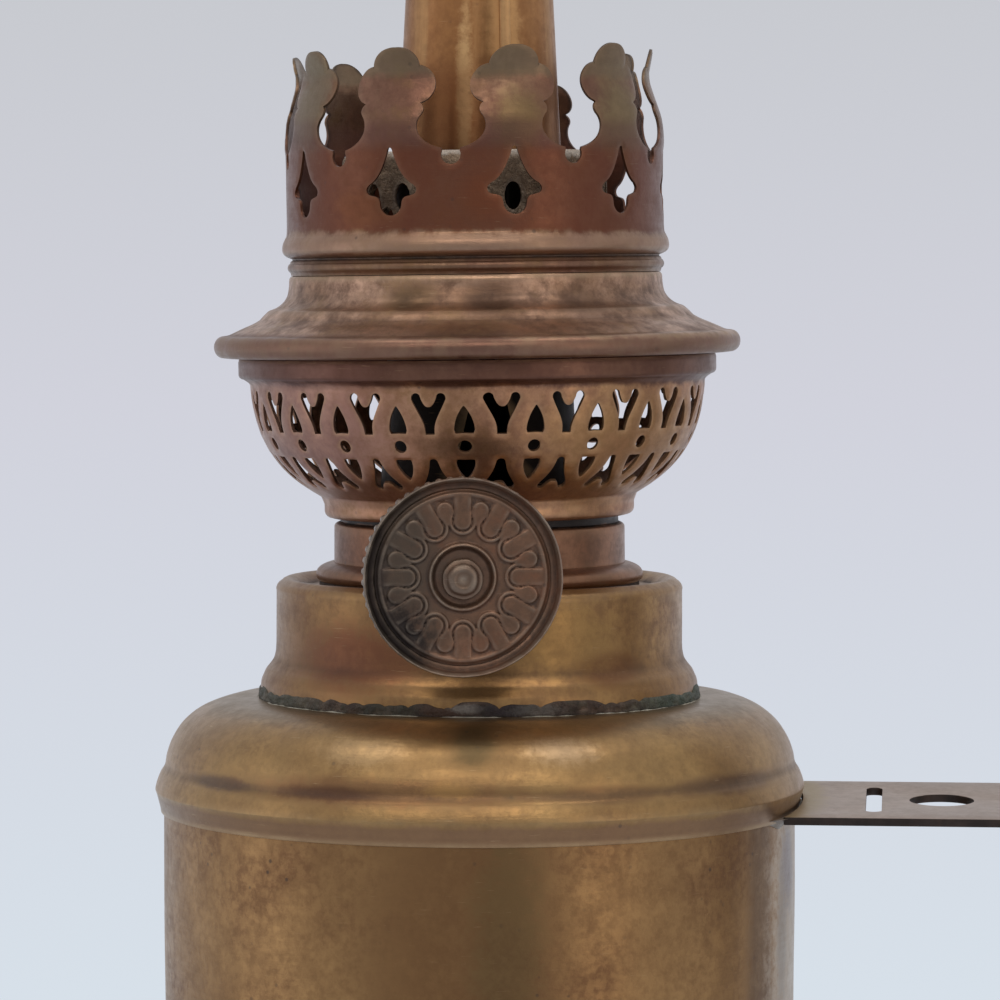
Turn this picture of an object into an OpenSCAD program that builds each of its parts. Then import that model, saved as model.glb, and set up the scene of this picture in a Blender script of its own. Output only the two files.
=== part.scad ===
// Wall oil lamp: a round wick burner on a drawn brass reservoir, held off the wall by a strap.
// Millimetres, +Z up. The wall is the plane Y = 0 and the lamp stands out towards -Y.
// The origin is on the back of the wall plate, level with the middle of the strap.

/* [Reservoir] */
// Outer diameter of the reservoir
font_d = 80; // [77:1:88]
// Depth of the reservoir below its shoulder bead
font_depth = 70; // [62:1:90]
// Sheet thickness of the reservoir
font_wall = 0.7; // [0.5:0.1:0.9]
// How far the shoulder bead stands out
bead_out = 1.0; // [0.7:0.1:1.4]
// Height of the shoulder bead
bead_h = 4.6; // [4:0.2:5.4]
// Rise of the dome from the bead's centre to the collar
dome_rise = 11.8; // [10:0.2:14]
// Height of the bottom's foot ring
base_foot = 1.6; // [1.2:0.2:2.4]

/* [Collar] */
// Outer diameter of the collar
collar_d = 51.4; // [48:0.2:54]
// Height of the collar
collar_h = 14.3; // [12:0.1:17]
// How far the collar's foot bead stands out
collar_bead = 2.0; // [1.4:0.1:2.4]
// Sheet thickness of the collar
collar_wall = 0.8; // [0.6:0.1:1]
// Rounding of the collar's lip
lip_r = 1.6; // [1.2:0.1:2]
// Depth of the burner's seat below the lip
seat_drop = 0.8; // [0.5:0.1:1.2]

/* [Burner] */
// Turn of the burner, from +X towards +Y
burner_turn = 11; // [0:1:30]
// Width of the flange beyond the neck
flange_w = 2.1; // [1.8:0.1:3]
// Height of the flared flange
flange_h = 2.65; // [2.4:0.05:3.2]
// Thickness of the seal washer
washer_t = 1.3; // [0.8:0.1:1.8]
// Outer diameter of the neck
neck_d = 36.8; // [34:0.2:38]
// Height of the neck above the flange
neck_h = 4.8; // [4.2:0.1:6]
// Sheet thickness of the burner's parts
sheet_t = 0.5; // [0.4:0.05:0.6]
// Depth of the threaded skirt below the flange
skirt_h = 8.6; // [7:0.2:10]

/* [Wick tube] */
// Outer diameter of the wick tube at its mouth
tube_top_d = 17.9; // [17.5:0.1:18.5]
// Taper of the wick tube, in radius per millimetre
tube_taper = 0.052; // [0.048:0.001:0.056]
// Rise of the mouth above the crown's tips
tube_rise = 13; // [8:1:20]
// Thickness of the tube's sheet
tube_t = 0.4; // [0.3:0.05:0.45]
// Thickness of the wick
wick_t = 1.4; // [1.2:0.1:1.5]
// Flat width of the wick band
wick_w = 45; // [43:0.5:46]
// Length of the wick band
wick_len = 155; // [140:1:165]
// Room between the wick and the wick tube
wick_room = 0.65; // [0.6:0.05:0.75]
// Room between the wick and the air tube
air_room = 0.45; // [0.4:0.05:0.55]
// Width of the air window at its sill
window_w = 10; // [8:0.5:11]
// Height of the air window
window_h = 22.5; // [18:0.5:26]

/* [Winder] */
// Diameter of the spindle
spindle_d = 3; // [2.8:0.1:3.1]
// Distance of the spindle from the lamp's axis
spindle_off = 5.5; // [5.3:0.1:5.7]
// Height of the spindle above the flange's underside
spindle_rise = 2.35; // [2.2:0.05:2.6]
// Distance of the knob's face from the lamp's axis
knob_reach = 37.4; // [36:0.2:42]
// Diameter of the knob
knob_d = 24; // [20:0.5:26]
// Thickness of the knob's rim
knob_t = 3.4; // [2.6:0.1:4.2]
// Number of flutes in the knob's milled edge
knob_flutes = 54; // [40:1:64]
// Number of petals in the knob's rosette
petals = 12; // [10:1:14]
// Diameter of the toothed wheels
wheel_d = 7.8; // [7.2:0.1:8]
// Number of teeth on each wheel
wheel_teeth = 11; // [9:1:14]
// Outer diameter of the spindle's gland
gland_d = 4.3; // [4.2:0.05:4.5]

/* [Gallery] */
// Turn of the pierced basket, from +X towards +Y
basket_turn = 10.75; // [0:0.25:16]
// Number of units round the basket
units = 22; // [20:1:23]
// Diameter of the basket's foot ring
ring_d = 39.2; // [39:0.2:40.4]
// Height of the foot ring
ring_h = 2.7; // [2.4:0.1:3.4]
// Inner rim diameter of the bowl
bowl_d = 57.5; // [55:0.5:60]
// Height of the bowl
bowl_h = 14.2; // [13:0.1:16]
// Diameter of the rim that carries the cover
rim_d = 60.4; // [60.2:0.2:62]
// Height of that rim
rim_h = 3.3; // [2.8:0.1:4]
// Diameter of the cover's rolled edge
cover_d = 66.6; // [65.4:0.2:70]
// Height of the rolled edge
roll_h = 2.6; // [2.2:0.1:3]
// Height of the cover above its rolled edge
cone_h = 7.8; // [7:0.1:9]

/* [Crown] */
// Turn of the crown's prongs, from +X towards +Y
crown_turn = 16.9; // [0:0.1:35]
// Number of prongs
prongs = 10; // [9:1:10]
// Diameter of the crown's band
crown_d = 47.6; // [47.2:0.1:49]
// Height of the crown from its seam to the tips
crown_h = 28.4; // [27:0.1:31]
// Height of the tips above the gaps between the prongs
prong_h = 13.3; // [12.9:0.1:14]
// How far the prongs lean in
prong_lean = 1.45; // [1:0.05:1.6]
// Width of a prong's waist
waist_w = 5.5; // [5:0.1:6]
// Width of a prong's wide lobes
lobe_w = 10; // [9.4:0.1:10.4]
// Width of a prong's tip
tip_w = 5.8; // [5.4:0.1:6.2]
// Outer diameter of the perforated air deflector
deflector_d = 33.4; // [32.6:0.2:34.4]
// Diameter of the holes in the deflector
hole_d = 2.3; // [1.6:0.1:2.6]
// Holes in each of its rows
hole_count = 22; // [18:1:24]

/* [Bracket] */
// Distance of the lamp's axis from the wall
wall_reach = 105; // [96:1:130]
// Width of the strap
strap_w = 26; // [22:1:28]
// Thickness of the strap
strap_t = 1; // [0.8:0.1:1.5]
// Cant of the strap about its length
cant = 3.5; // [0:0.5:4]
// Height of the shoulder bead's centre above the strap's middle
bead_z = 1.8; // [1.6:0.1:2.2]
// Length of the cross slot
slot_len = 17; // [12:1:18]
// Width of the cross slot
slot_w = 2; // [1.5:0.1:3]
// Distance of the cross slot from the lamp's axis
slot_from_axis = 50; // [48:0.5:51]
// Diameter of the round hole
eye_d = 8.1; // [6:0.1:10]
// Distance of the round hole from the lamp's axis
eye_from_axis = 58.5; // [58:0.5:64]
// Height of the strap's upturned end
tab_h = 24; // [22:1:30]
// Height of the wall plate
plate_h = 115; // [108:1:130]
// Distance of the wall plate's lower end below the strap
plate_drop = 40; // [38:1:46]
// Thickness of the wall plate
plate_t = 1.5; // [1.2:0.1:2]
// Diameter of the keyhole's round
key_d = 9; // [8:0.5:10]
// Width of the keyhole's slot
key_slot = 4.4; // [4:0.2:5]
// Diameter of the lower screw hole
screw_d = 4.4; // [4:0.2:5]
// Diameter of the rivets
rivet_d = 3; // [2.5:0.1:4]

/* [Hidden] */
$fn = 96;

// Clearances: pieces that touch, shafts that run, bodies that pass each other
touch = 0.05;
run = 0.05;
pass = 0.3;
// Room that each cutter reaches past what it cuts
past = 1;

font_r = font_d / 2;
bead_r = font_r + bead_out;
collar_r = collar_d / 2;
neck_r = neck_d / 2;
spigot_r = neck_r - 0.7;
skirt_r = neck_r + 0.4;
thread_r = skirt_r + pass;
flange_r = neck_r + flange_w;
ring_r = ring_d / 2;
bowl_r = bowl_d / 2;
rim_r = rim_d / 2;
cover_r = cover_d / 2;
crown_r = crown_d / 2;
spindle_r = spindle_d / 2;
gland_r = gland_d / 2;

// Heights above the shoulder bead's centre, piled from the reservoir to the wick tube's mouth
lip_z = dome_rise + collar_h;
seat_z = lip_z - seat_drop;
flange_z = seat_z + washer_t + touch;
spindle_z = flange_z + spindle_rise;
flange_top = flange_z + flange_h;
neck_top = flange_top + neck_h;
ring_z = neck_top + pass;
bowl_z = ring_z + ring_h;
bowl_top = bowl_z + bowl_h;
cover_z = bowl_top + rim_h;
cone_z = cover_z + roll_h;
crown_z = cone_z + cone_h;
tip_z = crown_z + crown_h;
gap_z = tip_z - prong_h;
mouth_z = tip_z + tube_rise;
skirt_z = flange_z - skirt_h;
floor_z = neck_top + 2.8;

// Radii of the wick passage, each measured in from the wick tube's outside at that height
function tube_r(z) = tube_top_d / 2 + tube_taper * (mouth_z - z);
wick_in = tube_t + wick_room;
air_in = wick_in + wick_t + air_room;
// Below this height the wick hangs straight
wick_bend_z = spindle_z + 1;
wick_out_r = tube_r(wick_bend_z) - wick_in;

function arc(c, r, a0, a1, n) =
    [for (i = [0:n]) let (a = a0 + (a1 - a0) * i / n) c + r * [cos(a), sin(a)]];
function ellipse(c, rx, ry, a0, a1, n) =
    [for (i = [0:n]) let (a = a0 + (a1 - a0) * i / n) c + [rx * cos(a), ry * sin(a)]];
function curve(p, n) =
    [for (i = [0:n]) let (t = i / n, s = 1 - t)
        s * s * s * p[0] + 3 * s * s * t * p[1] + 3 * s * t * t * p[2] + t * t * t * p[3]];
function backwards(p) = [for (i = [len(p) - 1:-1:0]) p[i]];
function unit(v) = v / norm(v);
function left(v) = [-v[1], v[0]];
// The line p moved to its left by t, mitred at each corner
function inset(p, t) = [for (i = [0:len(p) - 1])
    let (
        before = max(i, 1),
        after = min(i + 1, len(p) - 1),
        a = left(unit(p[before] - p[before - 1])),
        b = left(unit(p[after] - p[after - 1])),
        m = unit(a + b)
    )
    p[i] + m * t / (m * a)];
// An outline from its right half, which starts and ends near the middle line
function both_halves(p) = concat(p, [for (q = backwards(p)) [-q[0], q[1]]]);

// Sheet metal turned round the axis, with the outside on the line p
module turned_sheet(p, t) {
    rotate_extrude() polygon(concat(p, backwards(inset(p, t))));
}

module ring(r_in, r_out, z, h) {
    rotate_extrude() translate([r_in, z]) square([r_out - r_in, h]);
}

// A flat shape, drawn as width and height, pushed outwards through the wall at angle a
module radial(a, r0, r1) {
    rotate([0, 0, a]) translate([r0, 0, 0]) rotate([90, 0, 90]) linear_extrude(r1 - r0) children();
}

module at_lamp() {
    translate([0, -wall_reach, bead_z]) children();
}

module at_burner() {
    at_lamp() rotate([0, 0, burner_turn]) children();
}

// Puts what is turned about Z on the spindle's line, x from the lamp's axis towards the knob
module on_spindle(x) {
    at_burner() translate([x, -spindle_off, spindle_z]) rotate([0, 90, 0]) children();
}

module at_cant() {
    rotate([0, cant, 0]) children();
}

/* Reservoir */

module font_body() {
    color("#8d7550") at_lamp() {
        top = bead_h / 2 - 1;
        ring(font_r - font_wall, font_r, -font_depth + base_foot, top + font_depth - base_foot);
        // Rolled lower edge
        rotate_extrude() polygon(concat(
            [[font_r - font_wall, -font_depth + base_foot], [font_r - font_wall, -font_depth]],
            arc([font_r - font_wall + base_foot / 2 + touch, -font_depth + base_foot / 2],
                base_foot / 2, -90, 90, 8)
        ));
    }
}

module font_base() {
    r = font_r - font_wall - touch;
    step = base_foot / 2;
    color("#7c6848") at_lamp() turned_sheet([
        [0.01, -font_depth + 4 * step], [r - 10 * step, -font_depth + 4 * step],
        [r - 6 * step, -font_depth + step], [r - step, -font_depth + step],
        [r, -font_depth + 2 * step], [r, -font_depth + 8 * step]
    ], font_wall);
}

module font_shoulder() {
    half = bead_h / 2;
    // Circle through the bead's ends and its crest
    bulge_r = (half * half + bead_out * bead_out) / (2 * bead_out);
    bulge_a = asin(half / bulge_r);
    foot_r = collar_r + 2.3;
    rise = dome_rise - half;
    skin = font_wall;
    color("#92794f") at_lamp() rotate_extrude() polygon(concat(
        arc([bead_r - bulge_r, 0], bulge_r, -bulge_a + 4, bulge_a, 12),
        ellipse([foot_r, half], font_r - foot_r, rise, 6, 90, 14),
        [[thread_r + 1.6, dome_rise], [thread_r + 1.6, dome_rise - skin]],
        ellipse([foot_r, half], font_r - foot_r - skin, rise - skin, 90, 6, 14),
        [[font_r - font_wall, half - 1 + touch], [font_r + touch, half - 1 + touch], [font_r + touch, -half + 0.2]]
    ));
}

/* Collar */

module collar() {
    foot = [collar_r + 0.8, dome_rise + touch];
    color("#93754c") at_lamp() turned_sheet(concat(
        curve([
            foot, foot + [1.35, 0.15],
            [collar_r + collar_bead * 1.25, dome_rise + 3.4],
            [collar_r + collar_bead * 0.25, dome_rise + 3.9]
        ], 10),
        [[collar_r, dome_rise + 4.8]],
        arc([collar_r - lip_r, lip_z - lip_r], lip_r, 0, 90, 8),
        [
            [collar_r - lip_r - 0.7, lip_z - 0.1],
            [collar_r - lip_r - 1.5, seat_z],
            [thread_r + 0.9, seat_z]
        ]
    ), collar_wall);
}

module collar_thread() {
    color("#8a6f49") at_lamp() {
        ring(thread_r, thread_r + 0.8, dome_rise - 1.5, seat_z - dome_rise + 1.5);
        ring(thread_r + 0.8 + touch, thread_r + 2.4, seat_z - collar_wall - touch - 0.6, 0.6);
        ring(thread_r + 0.7, thread_r + 1, seat_z - collar_wall - touch - 0.6, 0.6);
    }
}

module collar_solder() {
    // Fillet under the collar's foot bead
    color("#3b4239") at_lamp() rotate_extrude() polygon([
        [collar_r + 1.75, dome_rise + touch], [collar_r + 3.7, dome_rise + touch],
        [collar_r + 3.25, dome_rise + 0.35], [collar_r + 2.75, dome_rise + 0.65],
        [collar_r + 2.3, dome_rise + 0.75], [collar_r + 1.95, dome_rise + 0.25]
    ]);
}

/* Bracket */

module bracket_arm() {
    bend = 2;
    inner_y = -plate_t - strap_t;
    outer_y = -plate_t;
    mid = strap_t / 2;
    seat_r = bead_r + touch;
    color("#7d746b") difference() {
        at_cant() difference() {
            rotate([90, 0, 90]) linear_extrude(strap_w, center = true) polygon(concat(
                [[-wall_reach, -mid]],
                arc([inner_y - bend, mid + bend], bend + strap_t, -90, 0, 6),
                [[outer_y, tab_h], [inner_y, tab_h]],
                arc([inner_y - bend, mid + bend], bend, 0, -90, 6),
                [[-wall_reach, mid]]
            ));
            // Cross slot with round ends
            translate([0, -wall_reach + slot_from_axis, -past]) linear_extrude(2 * past) {
                square([slot_len - slot_w, slot_w], center = true);
                for (side = [-1, 1]) translate([side * (slot_len - slot_w) / 2, 0]) circle(d = slot_w);
            }
            translate([0, -wall_reach + eye_from_axis, -past]) cylinder(h = 2 * past, d = eye_d);
            rivet_places() cylinder(h = plate_t + strap_t + past, d = rivet_d + 2 * run);
        }
        at_lamp() translate([0, 0, -past * 8]) cylinder(h = past * 16, r = seat_r);
    }
}

// Centres of the two rivets on the back of the wall plate, axes towards the room
module rivet_places() {
    for (z = [8, 17]) translate([0, 0, z]) rotate([90, 0, 0]) children();
}

module bracket_rivets() {
    head_r = rivet_d * 0.95;
    head_h = rivet_d * 0.42;
    grip = plate_t + strap_t;
    ball = (head_r * head_r + head_h * head_h) / (2 * head_h);
    color("#8b8177") at_cant() rivet_places() rotate_extrude() polygon(concat(
        [[0, 0], [rivet_d / 2, 0], [rivet_d / 2, grip + touch], [head_r, grip + touch]],
        arc([0, grip + touch + head_h - ball], ball, acos(head_r / ball), 90, 6)
    ));
}

module bracket_solder() {
    reach = 2.8 * strap_t;
    below = 3.4 * strap_t;
    spread = asin(strap_w / 2 / bead_r) + 1;
    under = -bead_z - strap_t / 2;
    color("#8f8f8c") difference() {
        at_lamp() rotate([0, 0, 90 - spread]) rotate_extrude(angle = 2 * spread) polygon(concat(
            [[font_r + touch, under + past]],
            [[font_r + touch, under - below]],
            arc([font_r + reach + 0.4, under - below], reach, 170, 95, 6),
            [[font_r + reach + 0.4, under + past]]
        ));
        at_cant() translate([-strap_w, -wall_reach, -strap_t / 2 - touch])
            cube([2 * strap_w, wall_reach, 4 * past]);
        at_lamp() translate([0, 0, -bead_h / 2 - touch]) cylinder(h = bead_h, r = bead_r + touch);
    }
}

module wall_plate() {
    half_w = strap_w / 2;
    low = -plate_drop + half_w;
    high = plate_h - plate_drop - half_w;
    color("#776f66") difference() {
        rotate([90, 0, 0]) linear_extrude(plate_t) difference() {
            union() {
                translate([-half_w, low]) square([strap_w, high - low]);
                for (z = [low, high]) translate([0, z]) circle(r = half_w);
            }
            translate([0, high - 7]) circle(d = key_d);
            translate([-key_slot / 2, high - 7]) square([key_slot, key_d / 2 + 4]);
            translate([0, high - 3 + key_d / 2]) circle(d = key_slot);
            translate([0, low]) circle(d = screw_d);
        }
        at_cant() translate([0, past, 0]) rivet_places()
            cylinder(h = plate_t + 2 * past, d = rivet_d + 2 * run);
    }
}

/* Burner */

// Clears the gland where it goes through the flange and the neck
module gland_hole() {
    translate([spigot_r - 4, -spindle_off, spindle_z]) rotate([0, 90, 0])
        cylinder(h = flange_r - spigot_r + 4 + past, r = gland_r + run);
}

module screw_ring() {
    shelf_z = flange_z + flange_h / 2;
    inner = neck_r - sheet_t - 0.05;
    color("#8c6a52") at_burner() difference() {
        rotate_extrude() polygon(concat(
            [[inner, skirt_z], [skirt_r, skirt_z], [skirt_r, flange_z], [flange_r - 0.25, flange_z]],
            curve([
                [flange_r, flange_z + 0.35], [flange_r + 0.1, flange_z + 1.2],
                [neck_r + 1.3, flange_top - 0.7], [neck_r + 0.35, flange_top]
            ], 8),
            [[neck_r + 0.12, flange_top], [neck_r + 0.12, shelf_z], [inner, shelf_z]]
        ));
        gland_hole();
    }
}

module seal_washer() {
    color("#33241c") at_burner() ring(skirt_r + 0.15, flange_r - 0.2, seat_z + touch / 2, washer_t);
}

module burner_neck() {
    bottom = flange_z + flange_h / 2 + touch;
    color("#8a6350") at_burner() difference() {
        turned_sheet(concat(
            [[neck_r, bottom]],
            arc([neck_r - 0.6, neck_top - 0.75], 0.6, 0, 75, 4),
            [[spigot_r, neck_top], [spigot_r, neck_top + 2.4]]
        ), sheet_t);
        gland_hole();
    }
}

module base_plate() {
    z = skirt_z + 1;
    color("#80664a") at_burner()
        ring(tube_r(z) + 2 * touch, neck_r - sheet_t - 0.05 - touch, z, 0.6);
}

module neck_plate() {
    z = neck_top + 1.4;
    color("#80664a") at_burner() ring(tube_r(z) + touch, spigot_r - sheet_t - touch, z, 0.6);
}

// Tapered tube between two heights, its outside moved in by so much
module tapered(move_in, t, z0, z1) {
    rotate_extrude() polygon([
        [tube_r(z0) - move_in - t, z0], [tube_r(z0) - move_in, z0],
        [tube_r(z1) - move_in, z1], [tube_r(z1) - move_in - t, z1]
    ]);
}

// Upright triangle of the air window, wider by so much all round, cut towards the knob
module window(more) {
    half = window_w / 2 + more;
    radial(0, 3, tube_r(floor_z) + past)
        polygon([[-half, floor_z - more], [half, floor_z - more], [0, floor_z + window_h + 2 * more]]);
}

module wick_tube() {
    seam_w = 1.6;
    bottom = skirt_z;
    color("#9a7440") at_burner() {
        difference() {
            tapered(0, tube_t, bottom, mouth_z);
            window(0);
            translate([0, -spindle_off, spindle_z]) rotate([0, 90, 0])
                cylinder(h = tube_r(bottom) + past, r = spindle_r + 0.4);
        }
        // Lapped seam on the side away from the basket's window
        intersection() {
            tapered(-tube_t * 0.6, tube_t * 0.6, cone_z, mouth_z);
            translate([0, -seam_w / 2, cone_z]) cube([tube_r(cone_z) + past, seam_w, mouth_z]);
        }
    }
}

module air_tube() {
    color("#8a6b3f") at_burner() difference() {
        tapered(air_in, tube_t, floor_z, mouth_z);
        window(0);
    }
}

module air_cheeks() {
    color("#80633c") at_burner() difference() {
        intersection() {
            rotate_extrude() polygon([
                [tube_r(floor_z) - air_in + touch, floor_z + 0.6],
                [tube_r(floor_z) - tube_t - touch, floor_z + 0.6],
                [tube_r(mouth_z) - tube_t - touch, mouth_z],
                [tube_r(mouth_z) - air_in + touch, mouth_z]
            ]);
            window(tube_t);
        }
        window(0);
        translate([0, 0, floor_z - 1]) ring(0.1, tube_r(floor_z) + past, 0, 1 + touch);
    }
}

module air_floor() {
    half = window_w / 2;
    r = tube_r(floor_z) - air_in - touch;
    color("#80633c") at_burner() {
        translate([0, 0, floor_z - 0.5 - touch]) cylinder(h = 0.5, r = r);
        // Sill between the two tubes
        intersection() {
            ring(r - 0.5, tube_r(floor_z) - tube_t - touch, floor_z - 0.5 - touch, 0.5);
            translate([0, -half, floor_z - 2]) cube([tube_r(floor_z), window_w, 3]);
        }
    }
}

leg_in = 5;
leg_t = 0.8;

module bearing_bracket() {
    top = floor_z - 0.5 - 2 * touch;
    leg_w = 4.4;
    color("#7d6544") at_burner() difference() {
        union() {
            for (x = [-leg_in - leg_t, leg_in])
                translate([x, -spindle_off - leg_w / 2, spindle_z - leg_w / 2 + 0.3])
                    cube([leg_t, leg_w, top - spindle_z + leg_w / 2 - 0.3]);
            translate([-leg_in - leg_t, -spindle_off - leg_w / 2, top - leg_t])
                cube([2 * (leg_in + leg_t), leg_w + 5, leg_t]);
        }
        translate([-leg_in - leg_t - past, -spindle_off, spindle_z]) rotate([0, 90, 0])
            cylinder(h = 2 * (leg_in + leg_t + past), r = spindle_r + run);
    }
}

gland_start = spigot_r - 1.5;
gland_end = flange_r + 3;

module spindle_gland() {
    color("#86694a") difference() {
        union() {
            on_spindle(gland_start) cylinder(h = gland_end - gland_start, r = gland_r);
            on_spindle(gland_end - 1.6) cylinder(h = 1.6, r = gland_r + 0.3);
        }
        on_spindle(gland_start - past)
            cylinder(h = gland_end - gland_start + 2 * past, r = spindle_r + run);
    }
}

/* Winder */

hub_len = 3;
hub_start = knob_reach - knob_t - hub_len;

module spindle() {
    start = -leg_in - leg_t - 0.6;
    color("#6f675c") on_spindle(start) cylinder(h = knob_reach - 1.2 - start, r = spindle_r);
}

module wick_wheels() {
    tip = wheel_d / 2;
    root = tip - 1.1;
    step = 360 / wheel_teeth;
    color("#75603f") for (x = [-3.7, 2.7]) on_spindle(x) difference() {
        linear_extrude(1) polygon([for (i = [0:wheel_teeth - 1], e = [[root, 0.2], [tip, 0.42], [tip, 0.58], [root, 0.8]])
            e[0] * [cos(step * (i + e[1])), sin(step * (i + e[1]))]]);
        translate([0, 0, -past]) cylinder(h = 3 * past, r = spindle_r + run / 2);
    }
}

module knob_hub() {
    color("#5d5546") difference() {
        on_spindle(hub_start) {
            cylinder(h = hub_len + 1, r = 3.2);
            translate([0, 0, hub_len - 0.2]) cylinder(h = 1.2, r = 4.6);
        }
        on_spindle(hub_start - past) cylinder(h = hub_len + 4 * past, r = spindle_r + run / 2);
    }
}

// Arch of a petal, its foot towards the rim, drawn round the spindle's line
module petal(w, depth, h) {
    r = w / 2;
    top_r = knob_d / 2 * 0.46;
    linear_extrude(h) {
        translate([top_r + r, 0]) circle(r = r, $fn = 24);
        translate([top_r + r, -r]) square([depth - r, w]);
    }
}

module knob_disc() {
    plate_r = knob_d / 2 - 1.5;
    back = hub_start + hub_len + 1 + touch;
    face = knob_reach - 1.1;
    w = knob_d * 0.165;
    depth = knob_d * 0.2;
    color("#5c5444") difference() {
        union() {
            on_spindle(back) cylinder(h = face - back, r = plate_r);
            for (i = [0:petals - 1]) on_spindle(face - touch) rotate([0, 0, (i + 0.5) * 360 / petals])
                difference() {
                    petal(w * 0.9, depth, 0.65);
                    translate([0.45, 0, 0.3]) petal(w * 0.9 - 0.9, depth, 1);
                }
            // Inner ring
            on_spindle(face - touch) ring(knob_d * 0.155, knob_d * 0.195, 0, 0.9);
        }
        on_spindle(back - past) cylinder(h = knob_t + 2 * past, r = spindle_r + run / 2);
    }
}

module knob_rim() {
    r = knob_d / 2;
    inner = r - 1.5 + touch;
    edge = 0.5;
    flute_r = 0.42;
    color("#665d4a") difference() {
        on_spindle(knob_reach - knob_t) rotate_extrude() polygon(concat(
            [[inner, 0], [r - edge, 0]],
            arc([r - edge, edge], edge, -90, 0, 4),
            arc([r - edge, knob_t - edge], edge, 0, 90, 4),
            [[inner + 0.5, knob_t - 0.15], [inner, knob_t - 0.6]]
        ));
        for (i = [0:knob_flutes - 1]) on_spindle(knob_reach - knob_t - past)
            rotate([0, 0, i * 360 / knob_flutes]) translate([r + flute_r * 0.55, 0, 0])
                cylinder(h = knob_t + 2 * past, r = flute_r, $fn = 16);
    }
}

module knob_button() {
    r = knob_d * 0.1;
    h = 1.1;
    ball = (r * r + h * h) / (2 * h);
    color("#6a614d") on_spindle(knob_reach - 1.1) rotate_extrude() polygon(concat(
        [[0, 0], [r, 0], [r, 0.5]],
        arc([0, 0.5 + h - ball], ball, acos(r / ball), 90, 6)
    ));
}

/* Wick */

// Half angle of the part of the circle that the band leaves open at a height, and its half width there
function mean_r(z) = tube_r(max(z, wick_bend_z)) - wick_in - wick_t / 2;
function open_half(z) = max(0, 180 - wick_w / mean_r(z) * 90 / PI);
function open_w(z) = mean_r(z) * sin(min(90, open_half(z)));

module wick() {
    top = mouth_z - 1;
    bottom = top - wick_len;
    steps = 10;
    sides = [for (i = [0:steps]) let (z = wick_bend_z + (top - 4 - wick_bend_z) * i / steps)
        [open_w(z) + 0.01, z]];
    color("#b9ad93") at_burner() difference() {
        rotate_extrude() polygon([
            [wick_out_r - wick_t, bottom], [wick_out_r, bottom], [wick_out_r, wick_bend_z],
            [tube_r(top) - wick_in, top], [tube_r(top) - wick_in - wick_t, top],
            [wick_out_r - wick_t, wick_bend_z]
        ]);
        radial(0, 0, wick_out_r + past) polygon(both_halves(concat([[open_w(bottom), bottom - past]], sides)));
    }
}

/* Gallery */

// The pierced field of the bowl, from below its rim to above its foot
field_h = bowl_h - 2.1;
field_top = bowl_top - 0.6;
unit_w = PI * bowl_d / units;
// Points drawn for a unit 8.2 wide in a field 12.1 high, down from its top
function in_field(p) = [for (q = p) [q[0] * unit_w / 8.2, field_top + q[1] * field_h / 12.1]];

fork = concat(
    [[0.55, -5.1]],
    curve([[0.6, -4.3], [0.75, -3.2], [1.4, -2.4], [2.1, -0.75]], 3),
    arc([1.52, -0.6], 0.58, 10, 150, 3),
    [[0.32, -1.55], [0.12, -1.72]]
);
ogive = concat(curve([[0.06, -1.6], [0.75, -2.6], [1.1, -3.6], [1.12, -4.6]], 3), [[0.95, -5], [0.01, -4.95]]);
drop = concat([[0.01, -8.25], [0.95, -8.25], [1.02, -8.5]], curve([[1, -9], [0.85, -9.7], [0.5, -10.4], [0.06, -10.8]], 3));
bell = concat(
    [[0.2, -8.2], [0.48, -8.4]],
    curve([[0.6, -8.9], [0.8, -10], [1.35, -10.7], [1.78, -11.4]], 3),
    [[1.8, -11.8], [1.5, -12.05], [1.05, -12], [0.7, -11.5], [0.3, -11.2]]
);

module air_basket() {
    wall = concat(
        [[spigot_r + pass, ring_z], [ring_r - 0.9, ring_z]],
        arc([ring_r - 0.9, ring_z + 0.9], 0.9, -60, 0, 3),
        [[ring_r, bowl_z - 1]],
        curve([
            [ring_r + 0.4, bowl_z], [ring_r + 4.2, bowl_z + 2.2],
            [bowl_r - 0.45, bowl_z + 5.4], [bowl_r, bowl_top]
        ], 8),
        [[bowl_r + 0.4, bowl_top + 0.4], [rim_r - 0.2, bowl_top + 0.65], [rim_r, bowl_top + 1.1], [rim_r, cover_z - touch]]
    );
    color("#8f5f48") at_lamp() rotate([0, 0, basket_turn]) difference() {
        turned_sheet(wall, sheet_t);
        for (i = [0:units - 1]) {
            a = i * 360 / units;
            between = (i + 0.5) * 360 / units;
            radial(a, ring_r - 2, bowl_r + past) polygon(both_halves(in_field(fork)));
            radial(a, ring_r - 3, bowl_r + past) polygon(both_halves(in_field(bell)));
            radial(between, ring_r - 2, bowl_r + past) polygon(both_halves(in_field(ogive)));
            radial(between, ring_r - 3, bowl_r + past) polygon(both_halves(in_field(drop)));
            rotate([0, 0, between]) translate([ring_r - 2, 0, in_field([[0, -6.6]])[0][1]])
                rotate([0, 90, 0]) cylinder(h = bowl_r - ring_r + 2 + past, r = 0.76);
        }
    }
}

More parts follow.
